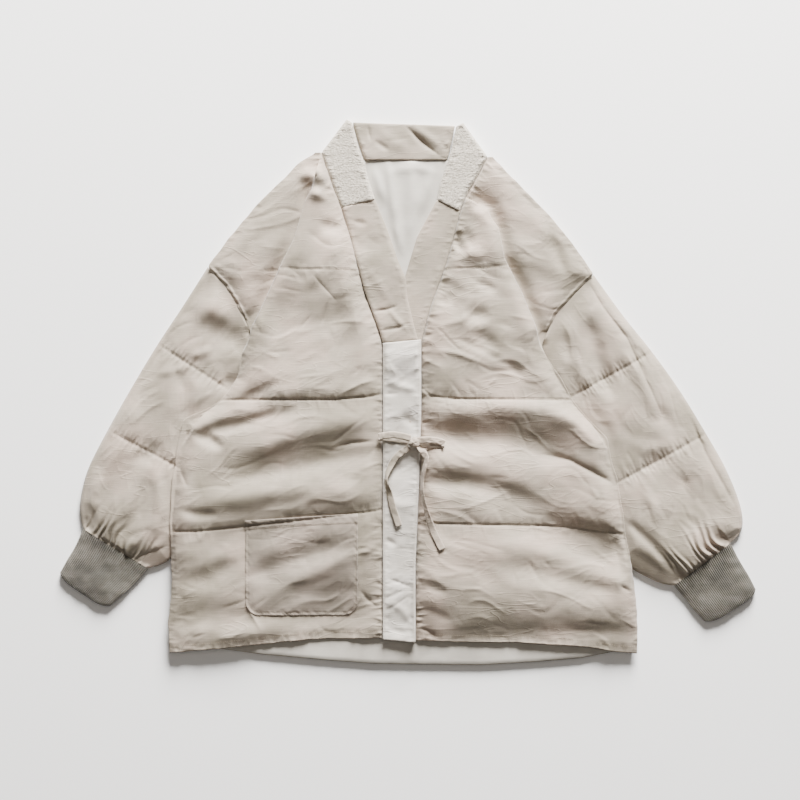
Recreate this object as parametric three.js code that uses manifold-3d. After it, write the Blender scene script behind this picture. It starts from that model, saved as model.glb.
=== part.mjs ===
// A lightly padded wrap jacket in the hanten style, laid flat on its back with its front up.
// Millimetres. +X points to the wearer's left, +Y to the collar, +Z up, and the floor is z = 0.
// The padded back lies on the floor with its lining on it, the sleeves lie beside it with their
// inner edges under the sides of the fronts, and the fronts, bands, placket, pocket and tie
// lie on top in the order in which they are sewn and wrapped.
import * as THREE from 'three';
import { mergeVertices } from 'three/addons/utils/BufferGeometryUtils.js';
import Module from 'manifold-3d';

const wasm = await Module();
wasm.setup();

// ---- Driving dimensions ----
const SEAM_GAP = 0.3; // between neighbouring pieces
const BACK_THICKNESS = 6; // padded back, pressed by what lies on it
const LINING_THICKNESS = 1.3;
const SHELL_THICKNESS = 4.8; // padded front where a seam presses it
const LEAST_THICKNESS = 3.5; // of a front in its deepest trough
const BAND_THICKNESS = 4.2; // front band and placket
const POCKET_THICKNESS = 2.6;
const ROW_SPACING = 19; // of the panels' cross-sections
const SLEEVE_SPACING = 24; // of the sleeves' cross-sections
const LINING_TOP = BACK_THICKNESS + SEAM_GAP + LINING_THICKNESS;
const FRONT_FLOOR = LINING_TOP + SEAM_GAP; // what lies on the lining starts here
const WRAP_FLOOR = FRONT_FLOOR + BAND_THICKNESS + SEAM_GAP; // what lies on the under band
const CHEST_PUFF = 15; // loft of the padding between two quilt lines
const SHOULDER_PUFF = 5; // loft beyond the fold of the chest
const QUILT_LEFT_OVER = 0.42; // share of the loft that stays at a quilt line
const QUILT_REACH = 42; // from a quilt line to full loft
const SLEEVE_EDGE_HEIGHT = 6; // middle of the rounded sleeve edge
const SLEEVE_LOFT = 11.5; // above that edge
const SLEEVE_REACH = 45; // from the edge to full loft
const SLEEVE_SLOT = { floor: 4.6, roof: 7, margin: 9 }; // the flattened inside of a sleeve
const GATHERS = 8; // along each cuff seam
const GATHER_DEPTH = 1.6;
const GATHER_REACH = 45; // how far the gathers run up the sleeve
const SLEEVE_PLAIN_EDGE = 26; // no crease or gather comes nearer to a sleeve's edge
const SLEEVE_CREASE_FADE = 14;
const SLEEVE_COLUMNS = 17; // faces across the upper side of a sleeve
const SLEEVE_CORNER = 3.5; // radius of a sleeve's flattened edge
const CUFF_CORNER = 2;
const CUFF_HEIGHT = 9.5;
const CUFF_SPACING = 30;
const CUFF_EDGE_SHARE = 0.12; // of a cuff's width over which it rises to its full height
const CUFF_SLOT = { floor: 3.2, roof: 5.4, margin: 5 };
const CUFF_RIBS = 22; // coarse ribs across a flattened cuff
const RIB_DEPTH = 0.5;
const TIE_WIDTH = 10;
const TIE_THICKNESS = 1.8;

// ---- Colours ----
const SHELL = { color: 0xd9d0c4, roughness: 0.85, metalness: 0 };
const LINING = { color: 0xd8d6d2, roughness: 0.7, metalness: 0 };
const TERRY = { color: 0xd6d1ca, roughness: 0.95, metalness: 0 };
const PLACKET = { color: 0xd2cfc9, roughness: 0.85, metalness: 0 };
const RIB_KNIT = { color: 0xa19c90, roughness: 0.9, metalness: 0 };

// ---- Outlines: one row for each height y, with the x of the edge ----
const RIGHT_SIDE = [
  { y: 337, x: -126 }, { y: 323, x: -151 }, { y: 298, x: -175 }, { y: 268, x: -207 },
  { y: 218, x: -249 }, { y: 176, x: -281 }, { y: 149, x: -254 }, { y: 122, x: -238 },
  { y: 83, x: -219 }, { y: 59, x: -231 }, { y: 20, x: -239 }, { y: -10, x: -260 },
  { y: -24, x: -282 }, { y: -36, x: -313 }, { y: -75, x: -322 }, { y: -122, x: -329 },
  { y: -180, x: -333 }, { y: -234, x: -331 }, { y: -279, x: -331 }, { y: -324, x: -336 },
  { y: -365, x: -334 },
];
const LEFT_SIDE = [
  { y: 331, x: 117 }, { y: 290, x: 157 }, { y: 250, x: 197 }, { y: 213, x: 227 },
  { y: 165, x: 261 }, { y: 150, x: 244 }, { y: 136, x: 231 }, { y: 110, x: 207 },
  { y: 92, x: 199 }, { y: 66, x: 187 }, { y: 48, x: 195 }, { y: 19, x: 215 },
  { y: -9, x: 229 }, { y: -36, x: 251 }, { y: -65, x: 280 }, { y: -89, x: 283 },
  { y: -125, x: 294 }, { y: -170, x: 301 }, { y: -211, x: 307 }, { y: -240, x: 313 },
  { y: -290, x: 320 }, { y: -331, x: 322 }, { y: -366, x: 321 },
];
// The seams between the fronts and the bands, down to the hem.
const RIGHT_BAND_SEAM = [
  { y: 337, x: -121 }, { y: 297, x: -108 }, { y: 259, x: -93 }, { y: 215, x: -80 },
  { y: 174, x: -69 }, { y: 143, x: -61 }, { y: 118, x: -52 }, { y: 86, x: -40 },
  { y: 69, x: -35 }, { y: -365, x: -35 },
];
const LEFT_BAND_SEAM = [
  { y: 331, x: 112 }, { y: 317, x: 105 }, { y: 298, x: 95 }, { y: 284, x: 86 },
  { y: 254, x: 73 }, { y: 235, x: 69 }, { y: 178, x: 53 }, { y: 126, x: 34 },
  { y: 94, x: 25 }, { y: 70, x: 19 }, { y: -24, x: 19 }, { y: -125, x: 16 },
  { y: -240, x: 11 }, { y: -366, x: 11 },
];
const RIGHT_HEM = [
  { x: -334, y: -365 }, { x: -276, y: -360 }, { x: -227, y: -355 }, { x: -171, y: -349 },
  { x: -126, y: -345 }, { x: -35, y: -344 },
];
const LEFT_HEM = [
  { x: 10, y: -347 }, { x: 82, y: -350 }, { x: 152, y: -350 }, { x: 222, y: -354 },
  { x: 261, y: -358 }, { x: 289, y: -363 }, { x: 321, y: -366 },
];
const BACK_HEM = [
  { x: -330, y: -354 }, { x: -271, y: -359 }, { x: -204, y: -368 }, { x: -116, y: -376 },
  { x: -49, y: -381 }, { x: 13, y: -382 }, { x: 105, y: -383 }, { x: 187, y: -378 },
  { x: 244, y: -373 }, { x: 279, y: -366 }, { x: 318, y: -358 },
];
const LOWER_BACK_SIDE = { right: [[-325, -262], [-328, -310]], left: [[317, -310], [309, -262]] };
const ROWS_BESIDE_BACK = 6; // rows of the sleeve tables that run beside the back
const HEM_CURVE_START = -285; // above this the cross-sections are level

// Sleeves: one row for each cross-section, from below the armhole to the cuff seam.
const RIGHT_SLEEVE = [
  { inner: [-213, 43], outer: [-316, 121] },
  { inner: [-238, -5], outer: [-351, 68] },
  { inner: [-294, -61], outer: [-386, 10] },
  { inner: [-304, -114], outer: [-421, -52] },
  { inner: [-308, -164], outer: [-449, -108] },
  { inner: [-313, -206], outer: [-460, -153] },
  { inner: [-336, -236], outer: [-459, -176] },
  { inner: [-364, -247], outer: [-456, -191] },
];
const LEFT_SLEEVE = [
  { inner: [189, 23], outer: [303, 107] },
  { inner: [212, -16], outer: [343, 57] },
  { inner: [256, -64], outer: [383, 1] },
  { inner: [272, -138], outer: [419, -58] },
  { inner: [282, -190], outer: [447, -108] },
  { inner: [298, -234], outer: [467, -159] },
  { inner: [346, -264], outer: [469, -192] },
  { inner: [374, -271], outer: [453, -211] },
];
const RIGHT_CUFF = [
  { inner: [-364, -247], outer: [-456, -191] },
  { inner: [-383, -268], outer: [-467, -216] },
  { inner: [-404, -288], outer: [-481, -239] },
  { inner: [-421, -304], outer: [-492, -257] },
];
const LEFT_CUFF = [
  { inner: [374, -271], outer: [453, -211] },
  { inner: [390, -290], outer: [466, -236] },
  { inner: [404, -308], outer: [480, -259] },
  { inner: [420, -326], outer: [492, -281] },
];
// Bands: one row for each cross-section, from the shoulder down.
const RIGHT_TERRY = [
  { outer: [-86, 383], inner: [-78, 378] },
  { outer: [-110, 351], inner: [-69, 345] },
  { outer: [-121, 337], inner: [-64, 331] },
  { outer: [-118, 326], inner: [-62, 326] },
  { outer: [-108, 297], inner: [-55, 298] },
  { outer: [-93, 259], inner: [-46, 271] },
];
const RIGHT_BAND = [
  { outer: [-93, 259], inner: [-46, 271] },
  { outer: [-80, 215], inner: [-29, 229] },
  { outer: [-69, 174], inner: [-13, 183] },
  { outer: [-61, 143], inner: [-3, 161] },
  { outer: [-52, 118], inner: [-1, 134] },
  { outer: [-40, 86], inner: [9, 92] },
  { outer: [-35, 69], inner: [14, 74] },
];
const LEFT_TERRY = [
  { outer: [78, 378], inner: [68, 373] },
  { outer: [98, 350], inner: [62, 345] },
  { outer: [112, 331], inner: [58, 331] },
  { outer: [110, 326], inner: [56, 326] },
  { outer: [105, 317], inner: [54, 318] },
  { outer: [95, 298], inner: [47, 298] },
  { outer: [86, 284], inner: [44, 285] },
  { outer: [73, 254], inner: [41, 270] },
];
const LEFT_BAND = [
  { outer: [73, 254], inner: [41, 270] },
  { outer: [69, 235], inner: [13, 218] },
  { outer: [53, 178], inner: [-3, 165] },
  { outer: [34, 126], inner: [-14, 120] },
  { outer: [25, 94], inner: [-24, 92] },
  { outer: [19, 70], inner: [-30, 70] },
  { outer: [19, -24], inner: [-30, -24] },
  { outer: [16, -125], inner: [-31, -125] },
  { outer: [11, -240], inner: [-31, -240] },
  { outer: [11, -347], inner: [-31, -344] },
];
const NECK_BAND = [
  [-76, 379], [-57, 379], [-5, 376], [62, 374.5], [66.5, 370], [57, 331], [55, 326],
  [-61, 326], [-63, 331], [-77, 375],
];
const NECK_BAND_HEIGHT = 8.5;
const NECK_EDGE = 326; // top edge of the back panel between the shoulders
const NECK_STEP = { above: 330.6, below: 326.2 }; // where the terry comes down to the floor
const WRAP_LEVELS = { starts: 215, ends: 176 }; // where the right band climbs over the left

// ---- Sewn lines and folds ----
const RIGHT_QUILT = [
  [[-200, 171], [-69, 171]],
  [[-262, -10], [-102, -10], [-55, -6], [-33, -1]],
  [[-335, -194], [-294, -194], [-232, -188], [-127, -176], [-34, -164]],
];
const LEFT_QUILT = [
  [[53, 173], [150, 176]],
  [[19, 0], [68, -9], [217, -10], [241, -10]],
  [[9, -178], [41, -183], [202, -187], [256, -192], [308, -199]],
];
// The chest stands over the shoulder along these lines, from the band to the armhole.
const RIGHT_FOLD = [[-130, 300], [-141, 255], [-154, 212], [-175, 171], [-198, 120], [-218, 80]];
const LEFT_FOLD = [[100, 262], [112, 255], [122, 227], [130, 186], [154, 139], [173, 92], [188, 62]];
const FOLD_SOFTNESS = 7;
const FOLD_END = 60; // below this height the whole front is chest
// Soft creases along their lines; a trough has a negative depth.
const RIGHT_CREASES = [
  { line: [[-142, 306], [-108, 290]], depth: -2.5, width: 8 },
  { line: [[-147, 278], [-101, 263]], depth: -3, width: 9 },
  { line: [[-125, 236], [-90, 226]], depth: -3, width: 9 },
  { line: [[-127, 160], [-107, 128]], depth: -3, width: 9 },
  { line: [[-105, 56], [-56, 98]], depth: -4, width: 12 },
  { line: [[-98, -4], [-36, 20]], depth: 2.5, width: 10 },
  { line: [[-242, -14], [-177, 14]], depth: -4, width: 11 },
  { line: [[-291, -44], [-190, -28]], depth: -3.5, width: 8 },
  { line: [[-280, -124], [-160, -90], [-44, -66]], depth: -10, width: 21 },
  { line: [[-150, -78], [-104, -52], [-50, -40]], depth: -4, width: 10 },
  { line: [[-284, -146], [-120, -122], [-50, -100]], depth: 5, width: 15 },
  { line: [[-272, -166], [-156, -158], [-122, -172]], depth: -6, width: 12 },
  { line: [[-120, -176], [-90, -160], [-40, -136]], depth: 3.5, width: 9 },
  { line: [[-222, -272], [-160, -240], [-90, -206]], depth: -6, width: 16 },
  { line: [[-197, -278], [-76, -211]], depth: 3, width: 10 },
  { line: [[-228, -292], [-205, -334]], depth: 3, width: 8 },
];
const LEFT_CREASES = [
  { line: [[75, 232], [92, 200]], depth: -3, width: 9 },
  { line: [[41, 124], [70, 136]], depth: -3, width: 9 },
  { line: [[22, -50], [130, -62], [236, -84], [270, -106]], depth: -10, width: 21 },
  { line: [[24, -92], [80, -94], [130, -88]], depth: 4, width: 12 },
  { line: [[30, -120], [82, -118], [205, -142], [262, -150]], depth: -8, width: 17 },
  { line: [[226, -92], [296, -130]], depth: -4, width: 9 },
  { line: [[172, -204], [250, -226], [311, -242]], depth: -6, width: 17 },
  { line: [[186, -234], [311, -266]], depth: 3, width: 12 },
  { line: [[12, -266], [58, -282]], depth: -3.5, width: 9 },
  { line: [[12, -296], [72, -324]], depth: -3.5, width: 9 },
  { line: [[64, -330], [112, -336], [309, -322]], depth: -5, width: 20 },
];
const SLEEVE_QUILT = { right: [1, 3], left: [1, 3] }; // rows of the sleeve tables
const SLEEVE_CREASES = {
  right: [
    { line: [[-307, 50], [-271, 66]], depth: 2, width: 10 },
    { line: [[-354, 25], [-303, 37]], depth: 2, width: 11 },
    { line: [[-405, -205], [-362, -127]], depth: -3, width: 12 },
    { line: [[-330, 50], [-312, -40]], depth: -2.5, width: 12 },
  ],
  left: [
    { line: [[273, 120], [307, 76], [354, -28]], depth: -2, width: 10 },
    { line: [[399, -40], [444, -132]], depth: -2, width: 10 },
    { line: [[320, -190], [370, -240]], depth: -2.5, width: 12 },
    { line: [[380, -110], [396, -150], [400, -200]], depth: -2.5, width: 12 },
  ],
};

// ---- Small geometry helpers ----
const clamp = (value, low, high) => Math.min(high, Math.max(low, value));
const mix = (a, b, t) => a + (b - a) * t;
const between = (a, b, t) => [mix(a[0], b[0], t), mix(a[1], b[1], t)];
const smooth = (t) => clamp(t, 0, 1) ** 2 * (3 - 2 * clamp(t, 0, 1));
/** How far the loft has risen at a distance from a pressed edge, from 0 to 1. */
const rise = (distance, reach) => Math.sin((Math.PI / 2) * clamp(distance / reach, 0, 1)) ** 0.8;

/** Distance from a point to a polyline, positive on the left of its direction. */
function signedDistance(line, x, y) {
  let best = Infinity;
  let sign = 1;
  for (let i = 1; i < line.length; i += 1) {
    const [ax, ay] = line[i - 1];
    const [bx, by] = line[i];
    const length2 = (bx - ax) ** 2 + (by - ay) ** 2;
    const t = clamp(((x - ax) * (bx - ax) + (y - ay) * (by - ay)) / length2, 0, 1);
    const distance = Math.hypot(x - mix(ax, bx, t), y - mix(ay, by, t));
    if (distance < best) {
      best = distance;
      sign = Math.sign((bx - ax) * (y - ay) - (by - ay) * (x - ax)) || 1;
    }
  }
  return sign * best;
}
const distanceTo = (line, x, y) => Math.abs(signedDistance(line, x, y));

/** Value of one column of a table at a given value of another, on straight lines. */
function lookUp(table, from, to, value) {
  const rows = [...table].sort((a, b) => a[from] - b[from]);
  const last = rows.length - 1;
  if (value <= rows[0][from]) return rows[0][to];
  if (value >= rows[last][from]) return rows[last][to];
  const i = rows.findIndex((row) => row[from] >= value);
  const t = (value - rows[i - 1][from]) / (rows[i][from] - rows[i - 1][from]);
  return mix(rows[i - 1][to], rows[i][to], t);
}

/** Height that the creases add at a point. */
function creaseHeight(creases, x, y) {
  let height = 0;
  for (const { line, depth, width } of creases) {
    height += depth * Math.exp(-((distanceTo(line, x, y) / width) ** 2));
  }
  return height;
}

/** A closed mesh geometry from points and triangles, turned so that its faces point out. */
function closedGeometry(points, triangles) {
  let volume = 0;
  for (const [a, b, c] of triangles) {
    const p = new THREE.Vector3(...points[a]);
    volume += p.dot(new THREE.Vector3(...points[b]).cross(new THREE.Vector3(...points[c])));
  }
  const faces = volume < 0 ? triangles.map(([a, b, c]) => [a, c, b]) : triangles;
  const geometry = new THREE.BufferGeometry();
  geometry.setAttribute('position', new THREE.Float32BufferAttribute(points.flat(), 3));
  geometry.setIndex(faces.flat());
  return geometry;
}

/** A few large faces over a whole grid, from its rim points alone. */
function largeFaces(rows, columns) {
  const last = columns - 1;
  const half = Math.floor(last / 2);
  const faces = [
    [[0, half], [1, last], [1, 0]],
    [[rows - 2, 0], [rows - 2, last], [rows - 1, half]],
  ];
  for (let c = 1; c <= last; c += 1) {
    const end = c <= half ? 0 : last;
    faces.push([[0, c - 1], [0, c], [1, end]], [[rows - 2, end], [rows - 1, c], [rows - 1, c - 1]]);
  }
  for (let r = 2; r < rows - 1; r += 1) {
    faces.push([[r - 1, 0], [r - 1, last], [r, last]], [[r - 1, 0], [r, last], [r, 0]]);
  }
  return faces;
}

/** A slab over a grid of plan points, between its top and bottom heights. */
function slab({ plan, top, bottom }) {
  const rows = plan.length;
  const columns = plan[0].length;
  const at = (r, c) => r * columns + c;
  const rim = [];
  for (let c = 0; c < columns - 1; c += 1) rim.push([0, c]);
  for (let r = 0; r < rows - 1; r += 1) rim.push([r, columns - 1]);
  for (let c = columns - 1; c > 0; c -= 1) rim.push([rows - 1, c]);
  for (let r = rows - 1; r > 0; r -= 1) rim.push([r, 0]);
  const points = plan.flatMap((row, r) => row.map(([x, y], c) => [x, y, top[r][c]]));
  const level = bottom.every((row) => row.every((z) => z === bottom[0][0]));
  const lower = level ? rim : plan.flatMap((row, r) => row.map((_, c) => [r, c]));
  const under = new Map(lower.map(([r, c], i) => [at(r, c), rows * columns + i]));
  lower.forEach(([r, c]) => points.push([...plan[r][c], bottom[r][c]]));
  const triangles = [];
  for (let r = 1; r < rows; r += 1) {
    for (let c = 1; c < columns; c += 1) {
      const [a, b, d, e] = [at(r - 1, c - 1), at(r - 1, c), at(r, c), at(r, c - 1)];
      triangles.push([a, b, d], [a, d, e]);
      if (!level) triangles.push([a, d, b].map((i) => under.get(i)), [a, e, d].map((i) => under.get(i)));
    }
  }
  if (level) {
    for (const face of largeFaces(rows, columns)) {
      const [a, b, c] = face.map(([r, k]) => under.get(at(r, k)));
      triangles.push([a, c, b]);
    }
  }
  rim.forEach(([r, c], i) => {
    const p = at(r, c);
    const q = at(...rim[(i + 1) % rim.length]);
    triangles.push([q, p, under.get(p)], [q, under.get(p), under.get(q)]);
  });
  return closedGeometry(points, triangles);
}

/** A tube wall from matching outer and inner rings, open at both ends. */
function tube(outer, inner) {
  const rings = outer.length;
  const count = outer[0].length;
  const points = [...outer.flat(), ...inner.flat()];
  const at = (r, k, wall) => wall * rings * count + r * count + (k % count);
  const triangles = [];
  for (let r = 1; r < rings; r += 1) {
    for (let k = 0; k < count; k += 1) {
      for (const wall of [0, 1]) {
        const quad = [at(r - 1, k, wall), at(r - 1, k + 1, wall), at(r, k + 1, wall), at(r, k, wall)];
        if (wall) quad.reverse();
        triangles.push([quad[0], quad[1], quad[2]], [quad[0], quad[2], quad[3]]);
      }
    }
  }
  for (let k = 0; k < count; k += 1) {
    for (const end of [0, rings - 1]) {
      const quad = [at(end, k + 1, 0), at(end, k, 0), at(end, k, 1), at(end, k + 1, 1)];
      if (end) quad.reverse();
      triangles.push([quad[0], quad[1], quad[2]], [quad[0], quad[2], quad[3]]);
    }
  }
  return closedGeometry(points, triangles);
}

/** A flat plate of an outline between two heights. */
function plate(outline, low, high) {
  const shape = new THREE.Shape(outline.map(([x, y]) => new THREE.Vector2(x, y)));
  const geometry = new THREE.ExtrudeGeometry(shape, { depth: high - low, bevelEnabled: false });
  geometry.translate(0, 0, low);
  return geometry;
}

/** A manifold solid of a closed geometry. */
function solid(geometry) {
  const bare = geometry.clone();
  bare.deleteAttribute('normal');
  bare.deleteAttribute('uv');
  const merged = mergeVertices(bare, 1e-5);
  return new wasm.Manifold(new wasm.Mesh({
    numProp: 3,
    vertProperties: new Float32Array(merged.attributes.position.array),
    triVerts: new Uint32Array(merged.index.array),
  }));
}

/** The geometry of a manifold solid. */
function fromSolid(shape) {
  const { vertProperties, triVerts } = shape.getMesh();
  const geometry = new THREE.BufferGeometry();
  geometry.setAttribute('position', new THREE.Float32BufferAttribute(vertProperties, 3));
  geometry.setIndex([...triVerts]);
  return geometry;
}
const cutBy = (geometry, tool) => fromSolid(solid(geometry).subtract(solid(tool)));

/** Rows of a table with more rows between them, no further apart than the spacing. */
function refine(rows, spacing) {
  const fine = [rows[0]];
  for (let i = 1; i < rows.length; i += 1) {
    const [a, b] = [rows[i - 1], rows[i]];
    const lengths = Object.keys(a).map((key) => Math.hypot(a[key][0] - b[key][0], a[key][1] - b[key][1]));
    const steps = Math.max(1, Math.ceil(Math.max(...lengths) / spacing));
    for (let step = 1; step <= steps; step += 1) {
      const entries = Object.keys(a).map((k) => [k, between(a[k], b[k], step / steps)]);
      fine.push(Object.fromEntries(entries));
    }
  }
  return fine;
}

// ---- Sleeves and cuffs ----
/** The armhole seam: the stretch of the side outline from the shoulder to the underarm. */
function armhole(side, top, bottom) {
  return side.filter(({ y }) => y <= top && y >= bottom).map(({ x, y }) => [x, y]);
}
const ARMHOLES = { right: armhole(RIGHT_SIDE, 176, 83), left: armhole(LEFT_SIDE, 165, 66) };

/** Point of a polyline at a share of its length. */
function pointAlong(line, share) {
  const lengths = line.slice(1).map((p, i) => Math.hypot(p[0] - line[i][0], p[1] - line[i][1]));
  let left = share * lengths.reduce((sum, length) => sum + length, 0);
  let i = 0;
  while (i < lengths.length - 1 && left > lengths[i]) {
    left -= lengths[i];
    i += 1;
  }
  return between(line[i], line[i + 1], left / lengths[i]);
}

/** Plan, edges and heights of one sleeve. */
function sleeveForm(rows, seam, quiltRows, creases) {
  const start = { outer: seam[0], inner: seam[seam.length - 1] };
  const table = [start, ...rows];
  const innerEdge = table.map((row) => row.inner);
  const outerEdge = table.map((row) => row.outer);
  const quilt = quiltRows.map((i) => [rows[i].inner, rows[i].outer]);
  const end = [rows[rows.length - 1].inner, rows[rows.length - 1].outer];
  const seamBow = (u, t) => {
    const straight = between(start.inner, start.outer, u);
    const bowed = pointAlong(seam, 1 - u);
    return [(bowed[0] - straight[0]) * (1 - t), (bowed[1] - straight[1]) * (1 - t)];
  };
  const top = (x, y, u) => {
    const edge = Math.min(distanceTo(innerEdge, x, y), distanceTo(outerEdge, x, y));
    const across = Math.min(...quilt.map((line) => distanceTo(line, x, y)));
    const ends = Math.min(distanceTo(seam, x, y), distanceTo(end, x, y) * 0.8);
    const soft = (0.55 + 0.45 * rise(across, 36)) * (0.5 + 0.5 * rise(ends, 40));
    const nearCuff = 1 - smooth(distanceTo(end, x, y) / GATHER_REACH);
    const gather = GATHER_DEPTH * Math.cos(2 * Math.PI * GATHERS * u) * nearCuff;
    const mask = smooth((edge - SLEEVE_PLAIN_EDGE) / SLEEVE_CREASE_FADE);
    const shape = SLEEVE_LOFT * soft * rise(edge, SLEEVE_REACH);
    return SLEEVE_EDGE_HEIGHT + shape + (creaseHeight(creases, x, y) + gather) * mask;
  };
  const points = (row, t, shares) => shares.map((u) => {
    const [x, y] = between(row.inner, row.outer, u);
    const [bx, by] = seamBow(u, t);
    return [x + bx, y + by];
  });
  const fine = refine(table, SLEEVE_SPACING);
  const firstRow = [table[1].inner, table[1].outer];
  const bowRows = fine.findIndex((row) => distanceTo(firstRow, ...row.inner) < 0.01);
  return { table: fine, bowRows, top, points, innerEdge };
}

/** Rings of a flattened tube: flat below, rounded at both edges, lofted above. */
function flattenedRings(form, columns, slot, edgeHeight, corner, startGap) {
  const outer = [];
  const inner = [];
  form.table.forEach((row, r) => {
    const width = Math.hypot(row.outer[0] - row.inner[0], row.outer[1] - row.inner[1]);
    const t = clamp(r / form.bowRows, 0, 1);
    const next = form.table[Math.min(r + 1, form.table.length - 1)];
    const toNext = [next.outer[0] - row.outer[0], next.outer[1] - row.outer[1]];
    const shift = r === 0 ? startGap / Math.hypot(...toNext) : 0;
    const step = [toNext[0] * shift, toNext[1] * shift];
    const shares = [0, corner / width, 0.5, 1 - corner / width, 1];
    const upper = [];
    for (let c = columns; c >= 0; c -= 1) upper.push(mix(corner / width, 1 - corner / width, c / columns));
    const plan = form.points(row, t, [...shares, ...upper]).map(([x, y]) => [x + step[0], y + step[1]]);
    const all = [...shares, ...upper];
    const heights = all.map((u, k) => {
      if (k === 0 || k === 4) return edgeHeight;
      return k < 4 ? 0 : form.top(plan[k][0], plan[k][1], u);
    });
    outer.push(plan.map(([x, y], k) => [x, y, heights[k]]));
    const margin = slot.margin / width;
    const inside = form.points(row, t, all.map((u) => mix(margin, 1 - margin, u)));
    inner.push(inside.map(([x, y], k) => {
      const side = k === 0 || k === 4;
      const level = k < 4 ? slot.floor : slot.roof;
      return [x + step[0], y + step[1], side ? (slot.floor + slot.roof) / 2 : level];
    }));
  });
  return { outer, inner };
}

const BELOW_FLOOR = -20; // well clear under the floor
/** The space that a sleeve takes, a little larger all round, for cutting what lies over it. */
function sleeveRoom(form, columns, room) {
  const plan = form.table.map((row, r) => {
    const shares = Array.from({ length: columns + 1 }, (_, c) => c / columns);
    const flat = form.points(row, clamp(r / form.bowRows, 0, 1), shares);
    const [a, b] = [flat[0], flat[columns]];
    const width = Math.hypot(b[0] - a[0], b[1] - a[1]);
    const out = [((b[0] - a[0]) / width) * room, ((b[1] - a[1]) / width) * room];
    flat[0] = [a[0] - out[0], a[1] - out[1]];
    return flat;
  });
  const top = plan.map((row) => row.map(([x, y], c) => form.top(x, y, c / columns) + room + SEAM_GAP));
  const bottom = plan.map((row) => row.map(() => BELOW_FLOOR));
  return slab({ plan, top, bottom });
}

const SLEEVE_FORMS = {
  right: sleeveForm(RIGHT_SLEEVE, ARMHOLES.right, SLEEVE_QUILT.right, SLEEVE_CREASES.right),
  left: sleeveForm(LEFT_SLEEVE, ARMHOLES.left, SLEEVE_QUILT.left, SLEEVE_CREASES.left),
};

/** A sleeve: a flattened tube from the armhole to the cuff. */
function sleeve(form) {
  const gap = 2 * SEAM_GAP;
  const { outer, inner } = flattenedRings(
    form, SLEEVE_COLUMNS, SLEEVE_SLOT, SLEEVE_EDGE_HEIGHT, SLEEVE_CORNER, gap,
  );
  return tube(outer, inner);
}

/** A rib-knit cuff: a flattened tube with its ribs raised along it. */
function cuff(rows) {
  const half = CUFF_HEIGHT / 2;
  const form = {
    table: refine(rows, CUFF_SPACING),
    bowRows: 1,
    top: (x, y, u) => half + half * rise(Math.min(u, 1 - u), CUFF_EDGE_SHARE),
    points: (row, t, shares) => shares.map((u) => between(row.inner, row.outer, u)),
  };
  const { outer, inner } = flattenedRings(form, 2 * CUFF_RIBS, CUFF_SLOT, half, CUFF_CORNER, SEAM_GAP);
  for (const ring of outer) {
    for (let k = 5; k < ring.length; k += 1) ring[k][2] += (k % 2 ? 1 : -1) * RIB_DEPTH;
  }
  return tube(outer, inner);
}

// ---- Front panels ----
// Places of a panel's columns, as shares from its side to its band; closer at both edges.
const FRONT_COLUMNS = [
  0, 0.025, 0.07, 0.13, 0.2, 0.28, 0.36, 0.44, 0.52, 0.6, 0.68, 0.76, 0.84, 0.91, 0.965, 1,
];
const SIDE_REACH = 40; // from the side to full loft
const SEAM_REACH = 36; // from the band to full loft
const HEM_REACH = 30;
const CREASE_FADE = { side: 30, seam: 24 }; // creases grow from nothing over these distances
const FOLDED_EDGE = 0.75; // loft left at the side where the chest is folded over

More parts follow.
